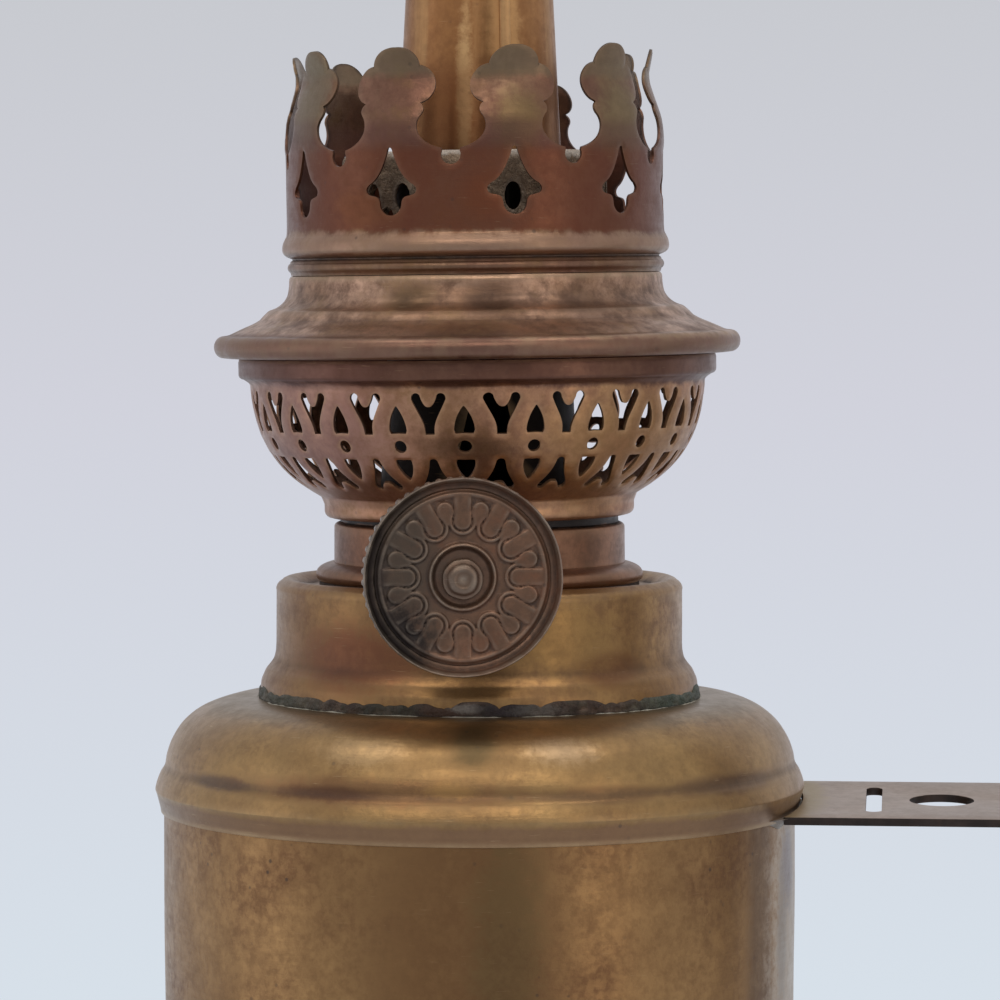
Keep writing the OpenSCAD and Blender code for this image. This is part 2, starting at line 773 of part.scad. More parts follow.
module gallery_cover() {
    edge = roll_h / 2;
    color("#7b5f52") at_lamp() turned_sheet(concat(
        [[rim_r - 1.5, cover_z]],
        ellipse([cover_r - 1.1, cover_z + edge], 1.1, edge, -90, 90, 8),
        [[cover_r - 1.9, cone_z + 0.15]],
        curve([
            [cover_r - 2.8, cone_z + 0.6], [cover_r - 4.6, cone_z + 1.3],
            [crown_r + 4.2, cone_z + 1.8], [crown_r + 3.1, cone_z + 2.3]
        ], 5),
        [[crown_r + 2.8, cone_z + 2.8], [crown_r + 2.3, cone_z + 3.35]],
        curve([
            [crown_r + 1.3, cone_z + 3.7], [crown_r + 0.4, cone_z + 4.2],
            [crown_r - 0.1, cone_z + 5], [crown_r - 0.2, cone_z + 6.6]
        ], 5),
        [[crown_r - 0.3, crown_z - 0.35], [crown_r - 0.8, crown_z - touch], [crown_r - 1.9, crown_z - touch]]
    ), sheet_t);
}

// Outside of the crown at the prongs, by height above the gaps
lean = [[0, 0.02], [1.4, 0.15], [4, -0.05], [6.5, -0.55], [8.4, -0.93], [9.8, -1], [11.4, -0.86], [13.3, -0.63]];

module crown() {
    step = 180 / prongs;
    top_u = (crown_r - prong_lean) * sin(step);
    low_u = crown_r * sin(step);
    gap_half = low_u - waist_w / 2;
    bulb_r = tip_w / 2;
    lobe_r = lobe_w / 4;
    notch_r = 0.85 * waist_w / 5.5;
    bead = crown_d / 47.6;
    lobe_u = top_u - lobe_w / 2 + lobe_r;
    up = prong_h / 13.3;
    wide = lobe_w / 10;
    gap = concat(
        arc([0, gap_z - notch_r / 2], notch_r, -88, 20, 6),
        ellipse([0, gap_z + 2.9 * up], gap_half, 2.9 * up, -74, 32, 9),
        arc([lobe_u - 0.2 * wide, gap_z + 5 * up], 0.95 * wide, 215, 125, 3),
        arc([lobe_u, gap_z + 8.1 * up], lobe_r, 235, 100, 9),
        arc([top_u, tip_z - bulb_r], bulb_r, 178, 92, 8),
        [[top_u + past, tip_z - 0.02], [top_u + past, tip_z + past]]
    );
    // Spade hole, drawn down from its point
    spade = [for (q = concat(
        curve([[0.12, 0], [0.9, -2.2], [1.5, -4.1], [2.9, -4.9]], 5),
        arc([2.65, -5.55], 0.62, 55, -70, 4),
        [[1.9, -6.45], [1.45, -6.9]],
        arc([0, -7.25], 1.4, 0, -84, 5)
    )) [q[0] * wide, gap_z + (q[1] + 0.7) * up]];
    wall = concat(
        [[crown_r - 0.3, crown_z + 0.15], [crown_r - 0.3, crown_z + 1.4 * bead]],
        curve([
            [crown_r, crown_z + 1.7 * bead], [crown_r + 0.8 * bead, crown_z + 2.6 * bead],
            [crown_r + 0.6 * bead, crown_z + 4.6 * bead], [crown_r, crown_z + 6.2 * bead]
        ], 6),
        [[crown_r, gap_z - 2 * bead]],
        [for (q = lean) [crown_r + (q[1] < 0 ? q[1] * prong_lean : q[1] * bead), gap_z + q[0] * up]]
    );
    color("#74483c") at_lamp() rotate([0, 0, crown_turn]) difference() {
        turned_sheet(wall, sheet_t);
        for (i = [0:prongs - 1]) {
            radial((i + 0.5) * 360 / prongs, crown_r - 6, crown_r + 2) polygon(both_halves(gap));
            radial(i * 360 / prongs, crown_r - 6, crown_r + 2) polygon(both_halves(spade));
        }
    }
}

// The glass chimney stands on this ring, inside the crown
seat_ring_z = crown_z + 0.7;

module chimney_ring() {
    color("#6f5a48") at_lamp()
        ring(deflector_d / 2 + touch, crown_r - 1, seat_ring_z - sheet_t, sheet_t);
}

module air_deflector() {
    r = deflector_d / 2;
    top = gap_z - 0.4;
    row_step = (top - seat_ring_z) * 0.205;
    color("#8b8780") at_lamp() rotate([0, 0, crown_turn]) difference() {
        turned_sheet(concat(
            [[r, seat_ring_z - sheet_t]],
            arc([r - 1.3, top - 1.3], 1.3, 0, 80, 5),
            [[tube_r(top) + 2.4, top]]
        ), sheet_t);
        for (row = [0:2], i = [0:hole_count - 1])
            rotate([0, 0, (i + 0.5 * row) * 360 / hole_count])
                translate([r - 3, 0, top - 4.4 - row_step * row]) rotate([0, 90, 0])
                    cylinder(h = 6, d = hole_d);
    }
}

font_body();
font_base();
font_shoulder();
collar();
collar_thread();
collar_solder();
bracket_arm();
bracket_solder();
wall_plate();
bracket_rivets();
screw_ring();
seal_washer();
burner_neck();
base_plate();
neck_plate();
wick_tube();
air_tube();
air_cheeks();
air_floor();
bearing_bracket();
spindle_gland();
spindle();
wick_wheels();
knob_hub();
knob_disc();
knob_rim();
knob_button();
wick();
air_basket();
gallery_cover();
crown();
chimney_ring();
air_deflector();
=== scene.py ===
# Wall oil lamp with a round wick burner, held off the wall by a strap. Shapes are drawn in millimetres.
import math
import random
import bmesh
import bpy
from mathutils import Matrix, Vector, geometry, kdtree, noise


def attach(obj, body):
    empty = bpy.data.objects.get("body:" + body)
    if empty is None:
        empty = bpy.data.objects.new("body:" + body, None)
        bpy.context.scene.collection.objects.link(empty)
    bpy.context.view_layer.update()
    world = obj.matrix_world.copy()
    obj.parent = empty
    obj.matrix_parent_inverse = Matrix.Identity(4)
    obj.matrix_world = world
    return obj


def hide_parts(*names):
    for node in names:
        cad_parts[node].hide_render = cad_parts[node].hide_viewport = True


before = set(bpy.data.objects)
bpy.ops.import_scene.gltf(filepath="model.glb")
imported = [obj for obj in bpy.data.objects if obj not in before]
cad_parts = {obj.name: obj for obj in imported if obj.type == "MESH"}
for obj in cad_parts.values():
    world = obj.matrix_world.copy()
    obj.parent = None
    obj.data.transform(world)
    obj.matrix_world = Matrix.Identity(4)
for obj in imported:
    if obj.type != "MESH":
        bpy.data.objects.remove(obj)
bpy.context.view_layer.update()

scene = bpy.context.scene
rad = math.radians

# The lamp's axis stands off the wall, and heights are counted from the middle of the shoulder bead
axisY, beadUp = -0.105, 1.8  # metres, millimetres
lampPlace = Matrix.Translation((0, axisY, beadUp / 1000)) @ Matrix.Scale(0.001, 4)
burnerPlace = lampPlace @ Matrix.Rotation(rad(11), 4, "Z")
frontTurn = 5.5  # degrees from +X towards the wall, where the photograph looks from
frontLine = Vector((math.cos(rad(frontTurn)), math.sin(rad(frontTurn)), 0))

# The gallery sits a little askew on its spigot, lower on the left
gallerySeat = {"height": 34.4, "tilt": 0.8}
galleryPlace = (lampPlace @ Matrix.Translation((0, 0, gallerySeat["height"]))
                @ Matrix.Rotation(rad(gallerySeat["tilt"]), 4, frontLine)
                @ Matrix.Translation((0, 0, -gallerySeat["height"])))
spindle = {"aside": -5.5, "height": 29.0}  # it passes beside the air tube


def onSpindle(x):
    middle = Matrix.Translation((x, spindle["aside"], spindle["height"]))
    return burnerPlace @ middle @ Matrix.Rotation(rad(90), 4, "Y")


def ease(f):
    f = min(1, max(0, f))
    return f * f * (3 - 2 * f)


def around(r, a, z):
    return r * math.cos(a), r * math.sin(a), z


# Lines: lists of points, mostly (radius, height)
def arc(centre, r, a0, a1, n, squash=1.0):
    steps = [rad(a0 + (a1 - a0) * i / n) for i in range(n + 1)]
    return [(centre[0] + r * math.cos(a), centre[1] + r * squash * math.sin(a)) for a in steps]


def curve(points, n):
    line = []
    for i in range(n + 1):
        t = i / n
        w = ((1 - t) ** 3, 3 * (1 - t) ** 2 * t, 3 * (1 - t) * t * t, t ** 3)
        line.append(tuple(sum(k * p[axis] for k, p in zip(w, points)) for axis in (0, 1)))
    return line


def flowing(points, n):
    # Smooth line through every point
    ends = [points[0]] + list(points) + [points[-1]]
    line = [points[0]]
    for four in zip(ends, ends[1:], ends[2:], ends[3:]):
        for i in range(1, n + 1):
            t = i / n
            line.append(tuple(
                0.5 * (2 * q + (r - p) * t + (2 * p - 5 * q + 4 * r - s) * t * t
                       + (3 * q - p - 3 * r + s) * t ** 3)
                for p, q, r, s in zip(*four)))
    return line


def evenOut(line, longest, closed=True):
    out = []
    for a, b in zip(line, line[1:] + line[:1]):
        out.append(a)
        if b is line[0] and not closed:
            break
        parts = max(1, math.ceil(math.dist(a, b) / longest - 1e-6))
        for i in range(1, parts):
            out.append((a[0] + (b[0] - a[0]) * i / parts, a[1] + (b[1] - a[1]) * i / parts))
    return out


def inwards(line, t):
    # The line moved to its left by t, mitred at its corners
    moved = []
    for i, p in enumerate(line):
        a, b = line[max(i, 1) - 1], line[max(i, 1)]
        c, d = line[min(i, len(line) - 2)], line[min(i, len(line) - 2) + 1]
        one = Vector((a[1] - b[1], b[0] - a[0])).normalized()
        two = Vector((c[1] - d[1], d[0] - c[0])).normalized()
        middle = (one + two).normalized()
        way = middle * (t / max(0.4, middle.dot(one)))
        moved.append((p[0] + way[0], p[1] + way[1]))
    return moved


def sheetLine(line, t):
    return line + inwards(line, t)[::-1]


def bothHalves(half):
    return half + [(-x, y) for x, y in half[::-1]]


def twiceArea(loop):
    return sum(a[0] * b[1] - b[0] * a[1] for a, b in zip(loop, loop[1:] + loop[:1]))


def isInside(p, loop):
    inside = False
    for a, b in zip(loop, loop[1:] + loop[:1]):
        crosses = (a[1] > p[1]) != (b[1] > p[1])
        if crosses and p[0] < (b[0] - a[0]) * (p[1] - a[1]) / (b[1] - a[1]) + a[0]:
            inside = not inside
    return inside


def cornerMarks(loop):
    # How sharply a closed outline turns near each point: outwards is worn bright, inwards keeps dirt and
    # painted shade
    count, reach = len(loop), 0.8
    turns, steps = [], []
    for i, p in enumerate(loop):
        a, b = Vector(p) - Vector(loop[i - 1]), Vector(loop[(i + 1) % count]) - Vector(p)
        steps.append(b.length)
        turns.append(math.atan2(a[0] * b[1] - a[1] * b[0], a.dot(b)))
    marks = []
    for i in range(count):
        total = turns[i]
        for way in (1, -1):
            walked, j = 0.0, i
            while True:
                walked += steps[j] if way > 0 else steps[j - 1]
                j = (j + way) % count
                if walked > reach or j == i:
                    break
                total += turns[j] * (1 - walked / reach)
        marks.append((min(1, max(0, total / 1.2)), min(1, max(0, -total / 1.0))))
    return marks


# From points and faces to pieces
def skin(rings, across, first=0, closed=True, looped=False):
    # Quads between rings of points: closed joins the ends of each ring, looped the last ring to the first
    faces = []
    for i in range(rings if looped else rings - 1):
        here, there = first + i * across, first + (i + 1) % rings * across
        for j in range(across if closed else across - 1):
            k = (j + 1) % across
            faces.append((here + j, there + j, there + k, here + k))
    return faces


def rod(rings, across, first=0):
    ends = range(first, first + across), range(first + (rings - 1) * across, first + rings * across)
    return skin(rings, across, first) + [tuple(ends[0]), tuple(ends[1])[::-1]]


def flipped(faces):
    return [(face[0], *face[:0:-1]) for face in faces]


def newMesh(name, points, faces, marks=None):
    mesh = bpy.data.meshes.new(name)
    mesh.from_pydata([tuple(p) for p in points], [], faces)
    if marks:
        for index, key in enumerate(("wear", "grime")):
            values = [m[index] for m in marks]
            mesh.attributes.new(key, "FLOAT", "POINT").data.foreach_set("value", values)
    return mesh


def reworked(mesh, change):
    work = bmesh.new()
    work.from_mesh(mesh)
    change(work)
    work.to_mesh(mesh)
    work.free()
    return mesh


def mended(mesh):
    def join(work):
        bmesh.ops.remove_doubles(work, verts=work.verts, dist=0.004)
        bmesh.ops.dissolve_degenerate(work, edges=work.edges, dist=0.001)
    return reworked(mesh, join)


def baked(obj):
    # The modifiers' result as a plain mesh of its own
    view = bpy.context.evaluated_depsgraph_get()
    mesh = bpy.data.meshes.new_from_object(
        obj.evaluated_get(view), preserve_all_data_layers=True, depsgraph=view)
    bpy.data.objects.remove(obj)
    return mesh


def addPiece(name, mesh, place, body, finish, replaced=(), crease=32):
    mesh.transform(place)
    mesh.materials.clear()
    mesh.materials.append(finish)
    mesh.shade_smooth()
    mesh.set_sharp_from_angle(angle=rad(crease))
    mesh.name = name
    piece = bpy.data.objects.new(name, mesh)
    scene.collection.objects.link(piece)
    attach(piece, body)
    if replaced:
        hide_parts(*replaced)
    return piece


def turned(name, loop, segments=256, dents=0.0, dentSize=16.0, seed=0.0, longest=1.6):
    # Turned or spun shape from its closed section, with gentle dents in millimetres
    loop = evenOut(loop, longest)
    if twiceArea(loop) < 0:
        loop.reverse()
    points = []
    for i in range(segments):
        a = math.tau * i / segments
        for r, z in loop:
            if dents:
                where = Vector(around(r, a, z)) / dentSize + Vector((seed, 0, seed))
                r += dents * noise.noise(where)
            points.append(around(r, a, z))
    mesh = newMesh(name, points, skin(segments, len(loop), looped=True), cornerMarks(loop) * segments)
    return mended(mesh) if min(p[0] for p in loop) < 0.01 else mesh


class Profile:
    # A sheet's outside line, walked by its length from the bottom up
    def __init__(self, line):
        self.line = line
        self.at = [0.0]
        for a, b in zip(line, line[1:]):
            self.at.append(self.at[-1] + math.dist(a, b))
        self.normals = []
        for i in range(len(line)):
            a, b = line[max(i - 1, 0)], line[min(i + 1, len(line) - 1)]
            self.normals.append(Vector((a[1] - b[1], b[0] - a[0])).normalized())

    def place(self, t, depth):
        t = min(max(t, 0), self.at[-1])
        i = next((k for k in range(1, len(self.at)) if self.at[k] >= t), len(self.at) - 1)
        f = (t - self.at[i - 1]) / max(1e-9, self.at[i] - self.at[i - 1])
        a, b = self.line[i - 1], self.line[i]
        way = self.normals[i - 1].lerp(self.normals[i], f)
        return a[0] + (b[0] - a[0]) * f + way[0] * depth, a[1] + (b[1] - a[1]) * f + way[1] * depth

    def walkTo(self, z):
        i = next(k for k in range(len(self.line) - 1, 0, -1) if self.line[k - 1][1] <= z)
        a, b = self.line[i - 1], self.line[i]
        risen = min(1, (z - a[1]) / max(1e-9, b[1] - a[1]))
        return self.at[i - 1] + (self.at[i] - self.at[i - 1]) * risen

    def radius(self, z):
        return self.place(self.walkTo(z), 0)[0]


def sheetUnit(name, profile, outline, holes, half, wrapR, thick, spacing, roll=0.1, groove=(0, 1)):
    # One unit of a pierced sheet: drawn flat as (way round, walked height), filled with triangles,
    # and bent round the axis. Its free edges roll inwards by roll.
    loops = [evenOut(loop, spacing) for loop in [outline] + holes]
    flat = [p for loop in loops for p in loop]
    edges, start = [], 0
    for loop in loops:
        edges += [(start + i, start + (i + 1) % len(loop)) for i in range(len(loop))]
        start += len(loop)
    near = kdtree.KDTree(len(flat))
    for i, p in enumerate(flat):
        near.insert((p[0], p[1], 0), i)
    near.balance()

    def isSheet(p):
        return isInside(p, loops[0]) and not any(isInside(p, hole) for hole in loops[1:])

    # Rows of points follow the corners of the profile, so small rolls and grooves keep their shape
    across, top = math.ceil(2 * half / spacing - 1e-6), max(p[1] for p in outline)
    for t, _ in evenOut([(t, 0) for t in profile.at if t <= top], spacing, False):
        for i in range(1, across):
            p = (-half + 2 * half * i / across, t)
            if near.find((p[0], p[1], 0))[2] > spacing * 0.6 and isSheet(p):
                flat.append(p)
    flat, edges, faces = geometry.delaunay_2d_cdt([Vector(p) for p in flat], edges, [], 0, 1e-5)[:3]
    kept = []
    for face in faces:
        if isSheet(sum((flat[i] for i in face), Vector((0, 0))) / len(face)):
            kept.append(face if twiceArea([tuple(flat[i]) for i in face]) > 0 else face[::-1])
    uses = {(a, b): True for face in kept for a, b in zip(face, face[1:] + face[:1])}

    def joins(i):
        return abs(abs(flat[i][0]) - half) < 1e-3

    free = [(a, b) for a, b in uses if (b, a) not in uses and not (joins(a) and joins(b))]
    rim = kdtree.KDTree(len(free) * 3)
    for k, (a, b) in enumerate(free):
        for p in (flat[a], (flat[a] + flat[b]) / 2, flat[b]):
            rim.insert((*p, 0), k)
    rim.balance()
    rollReach, wearReach = 0.45, 0.3
    points, marks = [], []
    for depth in (0, thick):
        for p in flat:
            away = rim.find((p[0], p[1], 0))[2]
            drop = 0 if depth else roll * max(0, 1 - away / rollReach) ** 2
            r, z = profile.place(p[1], depth + drop)
            points.append(around(r, p[0] / wrapR, z))
            # Outer faces near cut edges are worn bright; the inner faces near them and the groove get dirt
            # and painted shade
            close = max(0, 1 - away / wearReach)
            inGroove = max(0, 1 - abs(z - groove[0]) / groove[1])
            marks.append((0, 0.8 * close) if depth else (close, inGroove))
    n = len(flat)
    faces = kept + [tuple(i + n for i in face[::-1]) for face in kept]
    faces += [(b, a, a + n, b + n) for a, b in free]
    return reworked(newMesh(name, points, faces, marks), lambda work: bmesh.ops.delete(
        work, geom=[v for v in work.verts if not v.link_faces], context="VERTS"))


# What repeats round an axis
def addNode(tree, kind, inputs=None, **settings):
    made = tree.nodes.new(kind)
    for key, value in settings.items():
        setattr(made, key, value)
    for key, value in (inputs or {}).items():
        if isinstance(value, bpy.types.NodeSocket):
            tree.links.new(value, made.inputs[key])
        else:
            made.inputs[key].default_value = value
    return made


def makeRepeatTree():
    tree = bpy.data.node_groups.new("Repeat round the axis", "GeometryNodeTree")
    for name, kind, way in (
            ("Geometry", "NodeSocketGeometry", "INPUT"), ("Count", "NodeSocketInt", "INPUT"),
            ("Merge Distance", "NodeSocketFloat", "INPUT"), ("Finish", "NodeSocketMaterial", "INPUT"),
            ("Geometry", "NodeSocketGeometry", "OUTPUT")):
        tree.interface.new_socket(name, in_out=way, socket_type=kind)
    given = addNode(tree, "NodeGroupInput").outputs
    points = addNode(tree, "GeometryNodePoints", {"Count": given["Count"]})
    index = addNode(tree, "GeometryNodeInputIndex")
    share = addNode(tree, "ShaderNodeMath", {0: index.outputs[0], 1: given["Count"]}, operation="DIVIDE")
    turn = addNode(tree, "ShaderNodeMath", {0: share.outputs[0], 1: math.tau}, operation="MULTIPLY")
    spin = addNode(tree, "ShaderNodeCombineXYZ", {"Z": turn.outputs[0]})
    copies = addNode(tree, "GeometryNodeInstanceOnPoints", {
        "Points": points.outputs[0], "Instance": given["Geometry"], "Rotation": spin.outputs[0]})
    real = addNode(tree, "GeometryNodeRealizeInstances", {"Geometry": copies.outputs[0]})
    joined = addNode(tree, "GeometryNodeMergeByDistance", {
        "Geometry": real.outputs[0], "Distance": given["Merge Distance"]})
    dressed = addNode(tree, "GeometryNodeSetMaterial", {
        "Geometry": joined.outputs[0], "Material": given["Finish"]})
    addNode(tree, "NodeGroupOutput", {"Geometry": dressed.outputs[0]})
    return tree


repeatTree = makeRepeatTree()


def repeated(unit, count, finish):
    # Copies of the unit round the Z axis, joined where they meet
    carrier = bpy.data.objects.new(unit.name, unit)
    scene.collection.objects.link(carrier)
    modifier = carrier.modifiers.new("Repeat", "NODES")
    modifier.node_group = repeatTree
    given = {"Count": count, "Merge Distance": 0.01, "Finish": finish}
    for item in repeatTree.interface.items_tree:
        if item.in_out == "INPUT" and item.name in given:
            modifier[item.identifier] = given[item.name]
    return baked(carrier)


# Finishes
def linear(text):
    values = [int(text[i:i + 2], 16) / 255 for i in (1, 3, 5)]
    return [v / 12.92 if v <= 0.04045 else ((v + 0.055) / 1.055) ** 2.4 for v in values] + [1.0]


def perMm(size):
    # Noise scale whose features are this many millimetres across
    return 1000 / size


def spot(turnFromFront, r, z):
    # A place on the lamp in metres, from its angle to the right of the front, its radius and its height
    return lampPlace @ Vector(around(r, rad(frontTurn + turnFromFront), z))


def film(tree, under, shade, share, *masks):
    # One more film over the colours so far, as strong as its share and all its masks together
    for mask in masks:
        share = addNode(tree, "ShaderNodeMath", {0: share, 1: mask}, operation="MULTIPLY").outputs[0]
    over = addNode(tree, "ShaderNodeMix", {"Factor": share, 6: under, 7: linear(shade)}, data_type="RGBA")
    return over.outputs[2], share


def pattern(tree, mm, low, high, seed, detail=5, rough=0.62, stretch=(1, 1, 1)):
    # Cloudy mask with features this many millimetres across: 0 below low, 1 above high
    where = addNode(tree, "ShaderNodeTexCoord")
    moved = addNode(tree, "ShaderNodeMapping", {
        "Vector": where.outputs["Object"], "Location": (seed, seed * 0.7, -seed), "Scale": stretch})
    cloud = addNode(tree, "ShaderNodeTexNoise", {
        "Vector": moved.outputs[0], "Scale": perMm(mm), "Detail": detail, "Roughness": rough})
    mask = addNode(tree, "ShaderNodeMapRange", {
        "Value": cloud.outputs["Fac"], "From Min": low, "From Max": high}, interpolation_type="SMOOTHSTEP")
    return mask.outputs[0]


def addUp(tree, start, *terms):
    # The start and each mask times its share
    for mask, share in terms:
        terms = {0: mask, 1: share, 2: start}
        start = addNode(tree, "ShaderNodeMath", terms, operation="MULTIPLY_ADD").outputs[0]
    return start


def nearSpot(tree, place, sizes, ragged, soft=0.5):
    # Mask of a stain round one place with these half sizes in millimetres, ragged at its rim
    where = addNode(tree, "ShaderNodeTexCoord").outputs["Object"]
    away = addNode(tree, "ShaderNodeVectorMath", {0: where, 1: tuple(place)}, operation="SUBTRACT")
    scale = tuple(1000 / s for s in sizes)
    scaled = addNode(tree, "ShaderNodeVectorMath", {0: away.outputs[0], 1: scale}, operation="MULTIPLY")
    length = addNode(tree, "ShaderNodeVectorMath", {0: scaled.outputs[0]}, operation="LENGTH")
    edge = addUp(tree, length.outputs["Value"], (ragged, soft * 1.2))
    mask = addNode(tree, "ShaderNodeMapRange", {
        "Value": edge, "From Min": 1 - soft * 0.4, "From Max": 1 + soft * 1.6, "To Min": 1, "To Max": 0},
        interpolation_type="SMOOTHSTEP")
    return mask.outputs[0]


def nearHeight(tree, rise, fall, ragged):
    # Mask of a band between two slopes of height, in millimetres above the shoulder bead
    raggedMm = 0.5
    lift = beadUp + raggedMm / 2
    where = addNode(tree, "ShaderNodeTexCoord")
    height = addNode(tree, "ShaderNodeSeparateXYZ", {0: where.outputs["Object"]})
    edge = addUp(tree, height.outputs["Z"], (ragged, raggedMm / 1000))
    both = []
    for low, high, first in ((*rise, 0), (*fall, 1)):
        both.append(addNode(tree, "ShaderNodeMapRange", {
            "Value": edge, "From Min": (low + lift) / 1000, "From Max": (high + lift) / 1000,
            "To Min": first, "To Max": 1 - first}, interpolation_type="SMOOTHSTEP").outputs[0])
    return addNode(tree, "ShaderNodeMath", {0: both[0], 1: both[1]}, operation="MULTIPLY").outputs[0]


# What the old surfaces share: clouds of tarnish, mottle, fine blotches, specks, scratches, worn edges, and
# dirt with painted shade in hollows, creases and behind cut edges
plainLook = {
    "metallic": 0.92, "roughness": 0.36, "coat": 0.25, "bump": 0.25, "bumpMm": 0.12,
    "cloudMm": 24, "mottleMm": 4, "fineMm": 1.1, "lineMm": 0.5, "lineDepth": 0.25,
    "bright": "#b89a70", "grime": "#241a14", "patinaShare": 0.5, "stainShare": 0.4, "fineShare": 0.3,
    "speckShare": 0.5, "scratchShare": 0.25, "wearShare": 0.5, "streaks": (), "patches": (), "bands": ()}


def agedMetal(name, colours, **look):
    # The four colours are the bare surface, its clouds, its patina and its stains. Patches have a place,
    # half sizes, a colour, a share and sometimes a softness. Bands have a rise, a fall, a colour, a share.
    given = {**plainLook, **look}
    base, second, patinaShade, stain = colours
    finish = bpy.data.materials.new(name)
    finish.use_nodes = True
    tree = finish.node_tree
    tree.nodes.clear()
    cloud = pattern(tree, given["cloudMm"], 0.36, 0.64, 0.31)
    drift = pattern(tree, given["cloudMm"] * 0.55, 0.47, 0.68, 1.73)
    mottle = pattern(tree, given["mottleMm"], 0.36, 0.66, 2.19, detail=7, rough=0.68)
    fine = pattern(tree, given["fineMm"], 0.38, 0.66, 4.61, detail=4, rough=0.7)
    # Spinning leaves fine lines round the axis, drawn coarser than real ones so that they show,
    # and cloths leave short scratches the same way
    lines = pattern(tree, given["lineMm"] * 12, 0.3, 0.7, 0.77, detail=4, stretch=(1, 1, 12))
    scratch = pattern(tree, 3.2, 0.66, 0.74, 5.83, detail=3, stretch=(1, 1, 16))
    pits = addNode(tree, "ShaderNodeTexVoronoi", {
        "Vector": addNode(tree, "ShaderNodeTexCoord").outputs["Object"], "Scale": perMm(2.4),
        "Randomness": 1.0})
    pit = addNode(tree, "ShaderNodeMapRange", {
        "Value": pits.outputs["Distance"], "From Min": 0.07, "From Max": 0.13,
        "To Min": 1, "To Max": 0}).outputs[0]
    wearHere = addNode(tree, "ShaderNodeAttribute", attribute_name="wear").outputs["Fac"]
    grimeHere = addNode(tree, "ShaderNodeAttribute", attribute_name="grime").outputs["Fac"]

    colour, _ = film(tree, linear(base), second, 1.0, cloud)
    colour, patina = film(tree, colour, patinaShade, given["patinaShare"], mottle)
    colour, _ = film(tree, colour, patinaShade, given["fineShare"], fine)
    colour, stained = film(tree, colour, stain, given["stainShare"], drift, addUp(tree, 0.35, (fine, 0.65)))
    for sizeMm, shade, share in given["streaks"]:
        streak = pattern(tree, sizeMm, 0.46, 0.62, sizeMm * 0.37, stretch=(1, 1, 0.05))
        colour, _ = film(tree, colour, shade, share, streak)
    ragged = addUp(tree, 0.0, (mottle, 0.6), (fine, 0.4))
    for place, sizes, shade, share, *soft in given["patches"]:
        colour, _ = film(tree, colour, shade, share, nearSpot(tree, place, sizes, ragged, *soft))
    for rise, fall, shade, share in given["bands"]:
        colour, _ = film(tree, colour, shade, share, nearHeight(tree, rise, fall, mottle))
    colour, _ = film(tree, colour, given["bright"], given["scratchShare"], scratch)
    colour, specks = film(tree, colour, given["grime"], given["speckShare"], pit, drift)
    unevenly = addUp(tree, 0.4, (mottle, 0.6))
    colour, worn = film(tree, colour, given["bright"], given["wearShare"], wearHere, unevenly)
    # Last film: dirt and painted shade, where the pieces mark hollows, creases and the backs of cut edges
    colour, dirtAndShade = film(tree, colour, given["grime"], 1.0, grimeHere, addUp(tree, 0.6, (mottle, 0.4)))

    relief = {"Strength": given["bump"], "Distance": given["bumpMm"] / 1000}
    shader = addNode(tree, "ShaderNodeBsdfPrincipled", {
        "Base Color": colour,
        "Metallic": addUp(tree, given["metallic"], (dirtAndShade, -0.5), (specks, -0.6)),
        "Roughness": addUp(tree, given["roughness"] - 0.08, (patina, 0.2), (fine, 0.05), (lines, 0.05),
                           (stained, 0.08), (dirtAndShade, 0.25), (worn, -0.05)),
        "Coat Weight": given["coat"], "Coat Roughness": 0.42,
        "Normal": addNode(tree, "ShaderNodeBump", {
            "Height": addUp(tree, 0.0, (lines, given["lineDepth"]), (mottle, 0.4), (fine, 0.25),
                            (scratch, -0.12), (specks, -0.4)), **relief}).outputs[0]})
    addNode(tree, "ShaderNodeOutputMaterial", {"Surface": shader.outputs[0]})
    return finish


